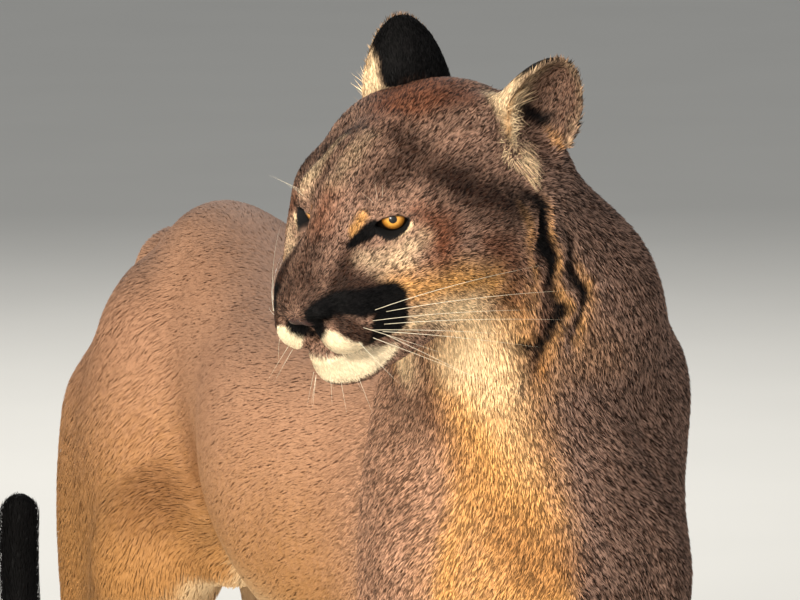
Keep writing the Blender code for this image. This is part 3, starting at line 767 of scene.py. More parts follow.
def body_marks_and_painted_light(p, m, normal, shares):
    """The neck's and body's share of each colour, away from the head, with painted light and shade on the
    neck, the back and the right flank.
    """
    body = 1.0 - head_share(m)
    side, top = normal[:, 0], normal[:, 2]
    neckness = fading(p[:, 1] - 0.5 * (p[:, 2] - 0.6), -0.30, -0.08)
    # Painted light and shade on the neck: its left side and top are taken as in shade, its right front as
    # lit.
    left = smooth(side + 0.55 * top, -0.30, 0.40)
    ahead = fading(normal[:, 1], -0.9, -0.3)
    shares[GREY] = shares[GREY] + body * neckness * (0.42 + 0.55 * left)
    # Painted light: the top of the back is greyer, as it looks under light from the sky.
    lay(shares, GREY, body * smooth(top, 0.35, 0.95) * smooth(p[:, 2], 0.52, 0.62) * 0.72)
    # Painted shade: brown on the neck's left side. The chest's golden is kept to its lit right front as
    # painted light.
    lay(shares, BROWN, body * neckness * smooth(side, 0.1, 0.7) * 0.15)
    lay(shares, GOLDEN, body * neckness * ahead * (1 - left) * 0.85)
    sunny = fading(p[:, 2], 0.40, 0.60) * smooth(p[:, 1], -0.22, -0.05)
    lay(shares, GOLDEN, body * sunny * 0.85)
    lay(shares, RUFOUS, body * sunny * 0.28)
    # Painted shade in the fold in front of the right thigh, on the right side only.
    lay(shares, RUFOUS, body * patch(p, (-0.097, 0.300, 0.480), (0.06, 0.05, 0.045), 0.7) * 0.45)
    lay(shares, CREAM, body * ahead * course_share(p * 1000.0, THROAT_COURSE, 44) * 0.85)
    lay(shares, RUFOUS, body * course_share(p * 1000.0, BREAST_COURSE, 30) * 0.45)
    belly = body * smooth(-top, 0.25, 0.9) * smooth(p[:, 2], 0.25, 0.36) * smooth(p[:, 1], -0.30, -0.20)
    low = fading(p[:, 2], 0.40, 0.46)
    inner = body * low * smooth(-side * np.sign(p[:, 0]), 0.3, 0.9)
    lay(shares, CREAM, np.maximum(belly * 0.75, inner * 0.65))
    lay(shares, BLACK, body * smooth(p[:, 1], 0.915, 0.945) * smooth(p[:, 2], 0.2, 0.24))


# Spots of the right side's face that stay pale: middle, radii, and the share of the black that they lose
PALE_SPOTS = (((-28, 23, -4), (11, 16, 9), 0.8), ((-16, 80, -27), (9, 11, 9), 0.7))


def markings(p, m, normal):
    """Shares of each colour of the coat at points of the skin, the later over the earlier; among them are
    painted light and shade.
    """
    a = mirrored(m)
    head = head_share(m)
    shares = [np.zeros(len(p)) for _ in range(8)]
    shares[GREY] = head * 0.85
    body_marks_and_painted_light(p, m, normal, shares)
    for colour, course, soft, strength in FACE_MARKS_AND_PAINTED_LIGHT:
        at = m if course[0][0] < 0 else a
        lay(shares, colour, course_share(at, course, soft) * strength)
    light = np.maximum(shares[WHITE], shares[CREAM] * 0.8)
    shares[BROWN] = shares[BROWN] * (1 - light * 0.5)
    # The lid rims and the lip line are dark in their own colour; the black laid in the creases is painted
    # shade.
    for dark in (eye_rim(a), lip_line(a), np.minimum(fold_depth(a) * 1.2, 0.95)):
        lay(shares, BLACK, dark)
    for middle, radii, lost in PALE_SPOTS:
        shares[BLACK] *= 1.0 - lost * patch(m, middle, radii, 0.4)
    ears = ear_tones(p, m)
    off = 1 - ears["on"]
    for colour, name in ((BLACK, "black"), (CREAM, "cream"), (GREY, "grey"), (BROWN, "brown")):
        shares[colour] = shares[colour] * off + ears[name]
    for colour in (RUFOUS, GOLDEN):
        shares[colour] = shares[colour] * off
    shares[BARE] = nose_leather(a)
    return np.stack(shares, 1).clip(0, 1)


def eye_rim(a):
    """The dark bare edge round the slit between the lids, widest below and towards the nose."""
    outside, along, above, out = slit(a)
    wide = 1.3 + 1.2 * smooth(-along, -4.0, 9.0) * smooth(-above, -2.0, 2.0)
    return fading(outside / wide, 0.7, 1.3) * smooth(out, 4.0, 8.0)


def lip_line(a):
    """The dark line of the closed mouth."""
    return course_share(a, [(*point[:3], 1.4) for point in LIPS], 2.0)


def ear_frame(m, spec):
    """Points in an ear's own axes, as shares of its height: across, out of the opening, and up."""
    base, turn, tall = ear_axes(spec)
    return (m - base) @ turn.T / tall


def inside_ear(m, spec):
    """1 in the cup of an ear, 0 on its back, from how near a point is to the hollow."""
    return fading(ear_cup(m, spec)[1], 1.5, 4.0)


def ear_tones(p, m):
    """How far points are on an ear, and the ears' share of each colour."""
    tones = {name: np.zeros(len(m)) for name in ("on", "black", "cream", "grey", "brown")}
    for spec in EARS:
        q = ear_frame(m, spec)
        on = fading(near_ear(p, spec, 0.12), 0.004, 0.014) * smooth(q[:, 2], 0.0, 0.3)
        inside = inside_ear(m, spec)
        ahead = q[:, 0] * np.sign(spec["rise"][0])
        rim = smooth(np.hypot(q[:, 0] / 0.44, (q[:, 2] - 0.26) / 0.74), 0.80, 0.95)
        # Painted shade: near black deep in each ear's hollow, low in the cup and towards its back.
        deep = inside * (1 - rim) * fading(q[:, 1], -0.24, -0.10)
        deep = deep * fading(q[:, 2], 0.22, 0.50)
        back = 1 - inside
        low_patch = patch(q, (0, -0.35, 0.05), (0.30, 0.30, 0.25), 0.6)
        tones["on"] = np.maximum(tones["on"], on)
        tones["black"] += on * np.maximum(back * (1.0 - 0.6 * low_patch), deep * 0.95)
        lining = inside * np.maximum(smooth(ahead, 0.05, 0.32) * 0.9, rim * 0.30)
        edge = back * smooth(ahead, 0.26, 0.36) * fading(q[:, 2], 0.5, 0.9) * 0.8
        tones["cream"] += on * (lining * (1 - 0.7 * smooth(q[:, 2], 0.25, 0.55)) + edge)
        tones["brown"] += on * inside * 0.55
        tones["grey"] += on * 0.9
    tones["black"] *= 1.0 - tones["cream"]
    return tones


TAIL_COURSE = tail_course(np.linspace(0, len(TAIL) - 1, 60))


def along_tail(p):
    """The way from root to tip of the nearest part of the tail."""
    near = np.argmin(np.linalg.norm(p[:, None, :] - TAIL_COURSE[None], axis=2), axis=1)
    ahead = np.minimum(near + 1, len(TAIL_COURSE) - 1)
    return TAIL_COURSE[ahead] - TAIL_COURSE[ahead - 1]


NOSE_TIP = np.array([0.0, 88.0, -30.0])


def head_lie(m):
    """On the head the hair runs back from the nose, and down over the lips and cheeks."""
    a = mirrored(m)
    down = smooth(-a[:, 2], 20, 60)[:, None] * np.array([0.0, 0.0, -0.5])
    return (units(m - NOSE_TIP) + down) @ AXES


def ear_lie(m, spec):
    """On an ear the hair runs up to its tip, and outwards to the edge inside the cup."""
    up = unit(spec["rise"])
    q = ear_frame(m, spec)
    out = np.sign(q[:, :1]) * smooth(q[:, 1], -0.1, 0.1)[:, None] * 0.6
    across = np.cross(up, unit(spec["opening"]))
    return (up + out * across) @ AXES


def lie(p, m, normal):
    """The way the hair lies, as unit vectors in the surface."""
    flank = np.abs(normal[:, :1])
    down_neck = unit(np.array([0.01, -0.22, 0.60]) - from_head((0, -104, -46)))
    runs = [
        (face(p), head_lie(m)),
        (neck(p) + 0.004, down_neck + smooth(-normal[:, 1:2], 0.2, 0.9) * np.array([0.0, 0.1, -0.9])),
        (torso(p), np.array([0.0, 1.0, -0.10]) + flank * np.array([0.0, 0.0, -0.45])),
    ]
    runs += [(leg, np.array([0.0, 0.30, -1.0]) + np.zeros_like(p)) for leg in forelegs(p)]
    runs += [(leg, np.array([0.0, 0.42, -1.0]) + np.zeros_like(p)) for leg in hindlegs(p)]
    runs.append((near_tail(p), along_tail(p)))
    runs += [(near_ear(p, spec, 0.16) - 0.002, ear_lie(m, spec)) for spec in EARS]
    nearest = np.min([d for d, _ in runs], axis=0)
    total = np.zeros_like(p)
    for d, way in runs:
        weight = np.exp(-(d - nearest) / 0.012)
        total += weight[:, None] * way / np.maximum(np.linalg.norm(way, axis=1), 1e-9)[:, None]
    feet = fading(p[:, 2], 0.03, 0.09)
    total = total * (1 - feet[:, None]) + feet[:, None] * np.array([0.0, -1.0, -0.4])
    total += rough(p, 18.0) * 0.22 + rough(p, 70.0, 5.0) * 0.20
    return units(total - (total * normal).sum(1)[:, None] * normal)


# Lengths and widths of the hair, in millimetres
BODY_HAIR, FRONT_HAIR, HEAD_HAIR, FACE_HAIR = (12.5, 1.35), (5.6, 0.82), (4.3, 0.64), (3.6, 0.54)
MUZZLE_HAIR, EAR_HAIR, LEG_HAIR, TAIL_HAIR = (2.9, 0.48), (4.8, 0.62), (8.4, 1.10), (11.0, 1.20)


def hair_sizes(p, m):
    """Length and width of the hair at points of the skin, in metres."""
    head = head_share(m)
    size = np.zeros((len(p), 2)) + BODY_HAIR
    for share, hair_there in (
        (fading(p[:, 1], -0.24, -0.02), FRONT_HAIR),
        (fading(p[:, 2], 0.22, 0.40) * fading(p[:, 1], 0.60, 0.70), LEG_HAIR),
        (smooth(p[:, 1], 0.60, 0.70), TAIL_HAIR),
        (head, HEAD_HAIR),
        (smooth(m[:, 1], -40.0, 30.0) * head, FACE_HAIR),
        (smooth(m[:, 1], 45.0, 70.0) * head, MUZZLE_HAIR),
        (ear_tones(p, m)["on"], EAR_HAIR),
    ):
        size += share[:, None] * (np.array(hair_there) - size)
    tight = patch(mirrored(m), EYE_AT + np.array([0, 8, 0]), (22, 18, 14), 0.5)
    size[:, 0] *= 1 - 0.55 * tight
    return size[:, 0] / 1000.0, size[:, 1] / 1000.0


# What one step leaves for the next
made = {}


class Skin:
    """The skin's mesh as arrays, with what the coat needs to know at each of its points."""

    def __init__(self, obj):
        mesh = obj.data
        self.points = read(mesh.vertices, "co", 3)
        self.normals = read(mesh.vertices, "normal", 3)
        mesh.calc_loop_triangles()
        self.triangles = read(mesh.loop_triangles, "vertices", 3, np.int32)
        design = self.points - SHIFT
        m = in_head(design)
        self.colours = markings(design, m, self.normals)
        self.lie = lie(design, m, self.normals)
        self.length, self.width = hair_sizes(design, m)
        self.depth = coat_depth(design, m)
        self.head = head_share(m)
        self.ears = ear_tones(design, m)
        ears = self.ears["on"]
        front = fading(design[:, 1], -0.22, -0.06) * smooth(design[:, 2], 0.30, 0.50)
        self.speckle = np.maximum(self.head, front) * 0.92 + 0.08
        self.region = np.select([ears > 0.5, self.head > 0.5, design[:, 1] < -0.18, design[:, 1] > 0.64],
                                [1, 0, 2, 4], 3)
        corners = self.points[self.triangles]
        cross = np.cross(corners[:, 1] - corners[:, 0], corners[:, 2] - corners[:, 0])
        self.areas = np.linalg.norm(cross, axis=1) / 2
        self.facing = cross / np.maximum(self.areas * 2, 1e-12)[:, None]
        self.chart, self.corner = charts(corners.mean(1), self.facing)


def read(items, name, size, kind=np.float32):
    values = np.empty(len(items) * size, kind)
    items.foreach_get(name, values)
    return values.reshape(-1, size).astype(float if kind == np.float32 else kind)


# The unwrap: the skin is parted into cells of this size, and each side of a cell is laid flat on a tile
CELL, TILE_FILL = 0.16, 0.9


def charts(middles, facing):
    """For each face, its tile's number and its cell's lowest corner and flattened axis."""
    cell = np.floor(middles / CELL).astype(int)
    axis = np.abs(facing).argmax(1)
    sign = facing[np.arange(len(axis)), axis] > 0
    keys = np.stack([*cell.T, axis, sign], 1)
    _, chart = np.unique(keys, axis=0, return_inverse=True)
    return chart.reshape(-1), (cell * CELL, axis)


def unwrapped(points, chart, corner, tiles):
    """Places on the unwrap for points of the faces with these charts."""
    low, axis = corner
    local = (points - low) / CELL
    u = np.where(axis == 0, local[:, 1], local[:, 0])
    v = np.where(axis == 2, local[:, 1], local[:, 2])
    inside = (np.clip(np.stack([u, v], 1), -0.05, 1.05) - 0.5) * TILE_FILL + 0.5
    tile = np.stack([chart % tiles, chart // tiles], 1)
    return np.clip((tile + inside) / tiles, 0.0, 1.0)


def flat(values, kind=np.float32):
    return np.ascontiguousarray(values, kind).reshape(-1)


def write_attribute(mesh, name, values):
    """Keeps a number, or four, with each point of a mesh."""
    kind, field = ("FLOAT", "value") if values.ndim == 1 else ("FLOAT_COLOR", "color")
    mesh.attributes.new(name, kind, "POINT").data.foreach_set(field, flat(values))


def write_colours(mesh, colours):
    """Keeps the shares of the eight colours with the mesh, four to an attribute."""
    write_attribute(mesh, "marks_a", colours[:, :4])
    write_attribute(mesh, "marks_b", colours[:, 4:])


def mesh_from(name, points, faces):
    mesh = bpy.data.meshes.new(name)
    mesh.from_pydata(points, [], faces)
    mesh.update()
    return mesh


def placed(obj, body="root"):
    """Puts a finished piece in the scene, riding on a body."""
    bpy.context.scene.collection.objects.link(obj)
    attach(obj, body)
    return obj


def triangle_mesh(name, points, triangles):
    """A mesh of triangles straight from arrays."""
    mesh = bpy.data.meshes.new(name)
    mesh.vertices.add(len(points))
    mesh.vertices.foreach_set("co", flat(points))
    mesh.loops.add(len(triangles) * 3)
    mesh.loops.foreach_set("vertex_index", flat(triangles, np.int32))
    mesh.polygons.add(len(triangles))
    mesh.polygons.foreach_set("loop_start", np.arange(0, len(triangles) * 3, 3, dtype=np.int32))
    mesh.update(calc_edges=True)
    return mesh


# Nothing of the visible animal lies below this height
LOWEST = 0.0002


def make_skin():
    """One mesh for all of the flesh: the head in fine steps, sewn to the body in coarser ones."""
    at, normal = NECK_SEAM
    head = one_side(*surface(skin_field, *HEAD_BOX, HEAD_STEP), at, normal)
    body = one_side(*surface(skin_field, *BODY_BOX, BODY_STEP), at - normal * SEAM_WIDTH, -normal)
    points, faces = joined(head, body)
    points = np.array(points) + SHIFT
    points[:, 2] = np.maximum(points[:, 2], LOWEST)
    mesh = mesh_from("skin", points.tolist(), faces)
    mesh.polygons.foreach_set("use_smooth", [True] * len(mesh.polygons))
    obj = placed(bpy.data.objects.new("skin", mesh))
    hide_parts(*FLESH)
    return obj


def random_places(skin, chosen, density, rng):
    """Random points of some of the triangles: the triangle's number and the shares of its corners."""
    weight = skin.areas * density * chosen
    count = int(weight.sum())
    sums = np.cumsum(weight)
    triangle = np.searchsorted(sums, rng.random(count) * sums[-1])
    triangle = np.sort(np.minimum(triangle, len(sums) - 1))
    shares = rng.random((count, 2))
    over = shares.sum(1) > 1
    shares[over] = 1 - shares[over]
    return triangle, np.stack([1 - shares.sum(1), shares[:, 0], shares[:, 1]], 1)


def spread(values, triangles, shares):
    """Values of the skin's points carried to places inside its triangles."""
    corners = values[triangles]
    return (corners * (shares[..., None] if corners.ndim == 3 else shares)).sum(1)


def bending(skin, triangle, way):
    """How sharply the skin curves away along the lie, in 1/metres."""
    corners = skin.points[skin.triangles[triangle]]
    normals = skin.normals[skin.triangles[triangle]]
    e1, e2 = corners[:, 1] - corners[:, 0], corners[:, 2] - corners[:, 0]
    n1, n2 = normals[:, 1] - normals[:, 0], normals[:, 2] - normals[:, 0]
    a, b, c = (e1 * e1).sum(1), (e1 * e2).sum(1), (e2 * e2).sum(1)
    x, y = (way * e1).sum(1), (way * e2).sum(1)
    det = np.maximum(a * c - b * b, 1e-18)
    s, t = (c * x - b * y) / det, (a * y - b * x) / det
    return ((s[:, None] * n1 + t[:, None] * n2) * way).sum(1)


BLADE = np.array([(0, 2, 1), (1, 2, 3)])
# How far along a blade its widest place is, how far its root is sunk as a share of the coat's depth, and the
# size of a clump of hairs that share a tone, in metres
MIDDLE, ROOT_SUNK, CLUMP = 0.42, 0.15, 0.0013
# How far blades stray from the lie, how far they turn on edge, how far their shading strays, and how wide a
# patch of the unwrap each has
STRAY, TWIST, SHADE_STRAY, UNWRAP_PATCH = 0.16, 0.35, 0.07, 0.003
# How many hair blades a mesh holds at most
MOST_BLADES = 98000


def clump_tones(root, rng):
    """A number from 0 to 1 for each hair, mostly shared by the hairs of one small clump."""
    cell = np.floor((root + rng.normal(0, CLUMP * 0.22, root.shape)) / CLUMP).astype(np.int64)
    mixed = (cell[:, 0] * 73856093) ^ (cell[:, 1] * 19349663) ^ (cell[:, 2] * 83492791)
    mixed = (mixed ^ (mixed >> 13)) * 1274126177
    return ((mixed & 0xFFFFFF) / 0xFFFFFF) * 0.5 + rng.random(len(root)) * 0.5


def unwrap_blades(mesh, skin, root, triangle):
    """Gives each blade a small patch of the unwrap, where its root is."""
    low, axis = skin.corner
    tiles = int(math.ceil(math.sqrt(skin.chart.max() + 1)))
    place = unwrapped(root, skin.chart[triangle], (low[triangle], axis[triangle]), tiles)
    corners = np.array([(0.0, -0.5), (-0.5, 0.0), (0.5, 0.0), (0.0, 0.5)]) * UNWRAP_PATCH
    uv = np.clip(place[:, None, :] + corners[None], 0.0, 1.0)[:, BLADE.reshape(-1), :]
    mesh.uv_layers.new(name="OFBake").data.foreach_set("uv", flat(uv))


def hair(skin, name, triangle, shares, rng):
    """Blades of hair as one mesh: root, two middle points and tip, in two triangles each."""
    corners = skin.triangles[triangle]
    root = spread(skin.points, corners, shares)
    normal = units(spread(skin.normals, corners, shares))
    way = spread(skin.lie, corners, shares)
    way += rng.normal(0, STRAY, way.shape)
    way = units(way - (way * normal).sum(1)[:, None] * normal)
    count = len(root)
    length = spread(skin.length, corners, shares) * rng.uniform(0.75, 1.25, count)
    width = spread(skin.width, corners, shares) * rng.uniform(0.8, 1.2, count)
    depth = spread(skin.depth, corners, shares)
    speckle = spread(skin.speckle, corners, shares)
    height = np.minimum(depth * (1.0 - rng.uniform(0.0, 0.5, count) * (0.2 + 0.8 * speckle)), length * 0.6)
    height *= 0.7 + 0.3 * speckle
    sag = np.clip(-0.5 * bending(skin, triangle, way) * length**2, -0.5 * length, 0.5 * length)
    across = np.cross(way, normal)
    twist = rng.normal(0, TWIST, count) * (0.25 + 0.75 * speckle)
    across = across * np.cos(twist)[:, None] + normal * np.sin(twist)[:, None]
    root = root - normal * (depth * ROOT_SUNK)[:, None]
    middle = root + way * (length * MIDDLE)[:, None] + normal * (height * 0.75 + sag * MIDDLE**2)[:, None]
    tip = root + way * length[:, None] + normal * (height + sag)[:, None]
    for end in (root, middle, tip):
        end[:, 2] = np.maximum(end[:, 2], LOWEST)
    side = across * (width / 2)[:, None]
    points = np.stack([root, middle - side, middle + side, tip], 1).reshape(-1, 3)
    triangles = (np.arange(count)[:, None, None] * 4 + BLADE).reshape(-1, 3)
    mesh = triangle_mesh(name, points, triangles)
    shade = units(normal + rng.normal(0, SHADE_STRAY, normal.shape) * speckle[:, None])
    write_colours(mesh, np.repeat(spread(skin.colours, corners, shares), 4, axis=0))
    tone = np.stack([clump_tones(root, rng), rng.random(count)], 1)
    strand = np.zeros((count, 4, 4))
    strand[:, :, 0] = (0.0, MIDDLE, MIDDLE, 1.0)
    strand[:, :, 1:3] = tone[:, None, :]
    strand[:, :, 3] = speckle[:, None]
    write_attribute(mesh, "strand", strand.reshape(-1, 4))
    unwrap_blades(mesh, skin, root, triangle)
    mesh.polygons.foreach_set("use_smooth", np.ones(len(triangles), bool))
    mesh.normals_split_custom_set_from_vertices(np.repeat(shade, 4, axis=0).astype(np.float32))
    mesh.materials.append(made["coat material"])
    placed(bpy.data.objects.new(name, mesh))


class Tone:
    """A number in a shader, so that maths on it reads as Python."""

    def __init__(self, shader, socket):
        self.shader, self.socket = shader, socket

    def maths(self, operation, *values):
        return self.shader.node("ShaderNodeMath", {"operation": operation}, values)

    def __add__(self, other):
        return self.maths("ADD", self, other)

    def __sub__(self, other):
        return self.maths("SUBTRACT", self, other)

    def __rsub__(self, other):
        return self.maths("SUBTRACT", other, self)

    def __mul__(self, other):
        return self.maths("MULTIPLY", self, other)

    def step(self, low, high):
        """0 below low, 1 above high, even between."""
        return self.shader.node("ShaderNodeMapRange", {"interpolation_type": "SMOOTHSTEP"},
                                {"Value": self, "From Min": low, "From Max": high})

    __radd__, __rmul__ = __add__, __mul__


class Shader:
    """A material's nodes, added one by one."""

    def __init__(self, name):
        self.material = bpy.data.materials.new(name)
        self.material.use_nodes = True
        self.tree = self.material.node_tree
        self.principled = self.tree.nodes["Principled BSDF"]

    def node(self, kind, settings=(), inputs=(), output=0):
        made_node = self.tree.nodes.new(kind)
        for name, value in dict(settings).items():
            setattr(made_node, name, value)
        named_inputs = inputs.items() if isinstance(inputs, dict) else enumerate(inputs)
        for name, value in named_inputs:
            self.feed(made_node.inputs[name], value)
        return Tone(self, made_node.outputs[output])

    def feed(self, socket, value):
        if isinstance(value, Tone):
            self.tree.links.new(value.socket, socket)
        else:
            socket.default_value = value

    def mix(self, a, b, share):
        """Colour a turned towards colour b."""
        return self.node("ShaderNodeMix", {"data_type": "RGBA"}, {0: share, 6: a, 7: b}, output=2)

    def brightened(self, colour, amount):
        """The colour times a number."""
        colour = colour if isinstance(colour, Tone) else colour[:3]
        return self.node("ShaderNodeVectorMath", {"operation": "SCALE"}, {0: colour, "Scale": amount})

    def attribute(self, name):
        """An attribute's red, green, blue and alpha shares."""
        made_node = self.tree.nodes.new("ShaderNodeAttribute")
        made_node.attribute_name = name
        parts = self.tree.nodes.new("ShaderNodeSeparateColor")
        self.tree.links.new(made_node.outputs["Color"], parts.inputs[0])
        return [Tone(self, s) for s in (*parts.outputs[:3], made_node.outputs["Alpha"])]

    def place(self):
        """Where a point is in its own mesh."""
        return self.node("ShaderNodeTexCoord", output=3)

    def noise(self, scale, detail=2.0):
        return self.node("ShaderNodeTexNoise", {}, {"Vector": self.place(), "Scale": scale, "Detail": detail})

    def set(self, **values):
        """Feeds the surface's inputs, with _ for the blanks in their names."""
        for name, value in values.items():
            self.feed(self.principled.inputs[name.replace("_", " ")], value)
        return self.material


def linear(red, green, blue):
    """A screen colour, 0 to 255, as the scene's linear colour."""
    shares = [c / 255 for c in (red, green, blue)]
    return tuple(c / 12.92 if c < 0.0404 else ((c + 0.055) / 1.055) ** 2.4 for c in shares)


def colour_property(name, description, screen):
    return bpy.props.FloatVectorProperty(name=name, description=description, default=linear(*screen), size=3,
                                         min=0.0, max=1.0, subtype="COLOR")


# Some of these colours also carry painted light and shade: grey on the neck's left side and on top of the
# back,
# brown on the neck's left side and at the temple, black at the temple, in the creases and deep in the ears,
# rufous in the fold before the right thigh, and cream and golden on the lit right side of the forehead and
# neck.
class CoatSettings(bpy.types.PropertyGroup):
    tawny: colour_property("Tawny", "The coat of the flanks and legs", (180, 136, 106))
    cream: colour_property("Cream", "Throat, belly and patches by the eyes", (244, 212, 166))
    black: colour_property("Black", "Muzzle patches, backs of the ears and tail tip", (9, 8, 8))
    rufous: colour_property("Rufous", "Crown and cheek streaks", (94, 50, 27))
    grey: colour_property("Grey", "Agouti of the head, neck and back", (108, 85, 73))
    brown: colour_property("Brown", "Bridge of the nose", (42, 30, 24))
    golden: colour_property("Golden", "Lower cheeks and middle of the chest", (186, 135, 74))
    bare: colour_property("Nose leather", "Bare skin of the nose", (54, 32, 27))
    white: colour_property("White", "Lips and chin", (222, 202, 168))
    cover: bpy.props.FloatProperty(name="Cover", description="Layers of hair over each place", default=1.9,
                                   min=0.2, max=4.0)
    head_cover: bpy.props.FloatProperty(name="Head cover", description="Layers of hair on the head",
                                        default=2.2, min=0.2, max=4.0)


class EyeSettings(bpy.types.PropertyGroup):
    amber: colour_property("Amber", "Middle of the iris", (206, 146, 62))
    rim: colour_property("Iris rim", "Outer edge of the iris", (120, 74, 22))
    pupil: bpy.props.FloatProperty(name="Pupil", description="Radius of the pupil", default=0.0027,
                                   min=0.001, max=0.006, unit="LENGTH")


class WhiskerSettings(bpy.types.PropertyGroup):
    colour: colour_property("Whisker", "Colour of the whiskers", (226, 214, 188))
    thickness: bpy.props.FloatProperty(name="Thickness", description="Diameter of a whisker at its root",
                                       default=0.00045, min=0.0002, max=0.003, unit="LENGTH")


class StageSettings(bpy.types.PropertyGroup):
    floor: colour_property("Floor", "The pale floor", (214, 212, 206))
    key: bpy.props.FloatProperty(name="Key light", description="Power of the main light", default=330.0,
                                 min=0.0, max=1000.0, unit="POWER")
    fill: bpy.props.FloatProperty(name="Fill light", description="Power of the weaker light", default=40.0,
                                  min=0.0, max=1000.0, unit="POWER")


def settings(name):
    return getattr(bpy.context.scene, "cougar_" + name)


def rgba(colour):
    return (*colour, 1.0)


def marked_colour(shader, coat):
    """The coat's colour from the shares kept with the mesh, and the shares that change its grain."""
    cream, black, rufous, grey = shader.attribute("marks_a")
    brown, golden, bare, white = shader.attribute("marks_b")
    cloud = shader.noise(9.0, 3.0)
    ragged = shader.noise(160.0, 2.0) - 0.5
    colour = shader.mix(rgba(coat.tawny), rgba(coat.rufous), (cloud - 0.42) * 0.55)
    for tint, share in ((coat.grey, grey), (coat.golden, golden), (coat.rufous, rufous), (coat.brown, brown),
                        (coat.cream, cream)):
        colour = shader.mix(colour, rgba(tint), share + ragged * share * (1.0 - share) * 2.0)
    for tint, share in ((coat.white, white), (coat.black, black)):
        edge = (share + ragged * share * (1.0 - share) * 2.8).step(0.08, 0.92)
        colour = shader.mix(colour, rgba(tint), edge)
    return colour, {"bare": bare, "black": black, "white": white, "grey": grey,
                    "pale": cream * 0.6 + golden * 0.25}


def coat_material():
    """Hair: darker at the root, banded, with each strand a little lighter or darker than the next."""
    coat = settings("coat")
    shader = Shader("coat")
    colour, share = marked_colour(shader, coat)
    along, tone, band, speckle = shader.attribute("strand")
    flecked = speckle * (1.0 - share["white"] * 0.85) * (1.0 - share["pale"])
    value = 1.0 + (tone.step(0.25, 0.75) - 0.46) * (0.03 + flecked * (1.1 + share["grey"] * 0.9))
    shade = along.step(0.0, 0.75) * (0.04 + flecked * 0.36) + (0.97 - flecked * 0.27)
    dark_tip = along.step(0.60, 0.95) * band.step(0.45, 0.7) * flecked * 0.45
    colour = shader.brightened(colour, value * shade * (1.0 - dark_tip))
    tinge = band.step(0.55, 1.0) * 0.22 * flecked * (1.0 - share["black"])
    warm = shader.mix(colour, rgba(coat.rufous), tinge)
    return shader.set(Base_Color=warm, Roughness=0.68, Specular_IOR_Level=0.06)


def skin_material():
    """Under the hair the same marks and painted shade as the coat, in fine bump; bare nose leather is damp.
    """
    coat = settings("coat")
    shader = Shader("skin")
    colour, share = marked_colour(shader, coat)
    bare = share["bare"]
    fleck = shader.noise(900.0, 2.0)
    colour = shader.brightened(colour, 0.76 + fleck * 0.4)
    leather = shader.brightened(rgba(coat.bare), 0.7 + shader.noise(300.0, 3.0) * 0.6)
    colour = shader.mix(colour, leather, bare)
    cells = shader.node("ShaderNodeTexVoronoi", {"feature": "DISTANCE_TO_EDGE"},
                        {"Vector": shader.place(), "Scale": 750.0})
    height = fleck * (1.0 - bare) + cells.step(0.0, 0.3) * bare
    bump = shader.node("ShaderNodeBump", {}, {"Strength": 0.5, "Distance": 0.0004, "Height": height})
    return shader.set(Base_Color=colour, Roughness=0.8 - bare * 0.4, Normal=bump, Specular_IOR_Level=0.2)


# The coat's pieces, by the number of their region: the name and the finish of each
COAT_PIECES = (("head", "face_coat"), ("ears", "ear_coat"), ("front", "body_coat"), ("body", "body_coat"),
               ("tail", "body_coat"))


def make_coat():
    """Hair over the whole skin, in a few meshes; none on bare leather or in the lids' slit."""
    skin = made["skin"]
    coat = settings("coat")
    rng = np.random.default_rng(COAT_SEED)
    made["coat material"] = coat_material()
    density = 1.0 / (skin.width * skin.length / 2)
    bare = np.maximum(skin.colours[:, BARE], eye_rim(mirrored(in_head(skin.points - SHIFT))))
    density = density * (1.0 - np.clip(bare * 1.5, 0, 1))
    density = density * (coat.cover + (coat.head_cover - coat.cover) * skin.head)
    density = density[skin.triangles].mean(1)
    region = skin.region[skin.triangles[:, 0]]
    for number, (name, slot) in enumerate(COAT_PIECES):
        triangle, shares = random_places(skin, region == number, density, rng)
        pieces = max(1, math.ceil(len(triangle) / MOST_BLADES))
        for k, chosen in enumerate(np.array_split(np.arange(len(triangle)), pieces)):
            hair(skin, f"coat_{name}_{k + 1}", triangle[chosen], shares[chosen], rng)


# The ears' long hairs: length, width and height, in metres, and how many to a square metre
EAR_TUFT, TUFT_DENSITY = (0.012, 0.00040, 0.003), 900000.0


def make_ear_tufts():
    """Long pale hairs that fan out of each ear from its front edge and root."""
    skin = made["skin"]
    rng = np.random.default_rng(TUFT_SEED)
    m = in_head(skin.points - SHIFT)
    fan = copy.copy(skin)
    fan.lie, fan.colours = skin.lie.copy(), skin.colours * 0.0
    fan.colours[:, CREAM], fan.colours[:, GREY] = 0.95, 0.5
    place = np.zeros(len(m))
    for spec in EARS:
        q = ear_frame(m, spec)
        here = (np.abs(q).max(1) < 1.3) & (inside_ear(m, spec) > 0.5)
        side = np.sign(spec["rise"][0])
        ahead = q[:, 0] * side
        edge = smooth(ahead, 0.10, 0.30) * fading(q[:, 2], 0.25, 0.55)
        root = fading(q[:, 2], 0.02, 0.22) * smooth(q[:, 2], -0.45, -0.15)
        root = root * smooth(ahead, -0.05, 0.12)
        place = np.maximum(place, here * np.maximum(edge, root * 0.8))
        spin = np.arctan2(q[:, 2] - 0.02, ahead - 0.22)
        out, up = np.full(len(m), 0.75), 0.15 + 0.75 * np.sin(spin)
        way = np.stack([side * (0.5 * np.cos(spin) - 0.75), out, up], 1)
        fan.lie = np.where(here[:, None], way @ ear_axes(spec)[1] @ AXES, fan.lie)
    fan.length, fan.width, fan.depth = (np.full(len(m), size) for size in EAR_TUFT)
    triangle, shares = random_places(skin, place[skin.triangles].mean(1), TUFT_DENSITY, rng)
    hair(fan, "coat_ear_tufts", triangle, shares, rng)


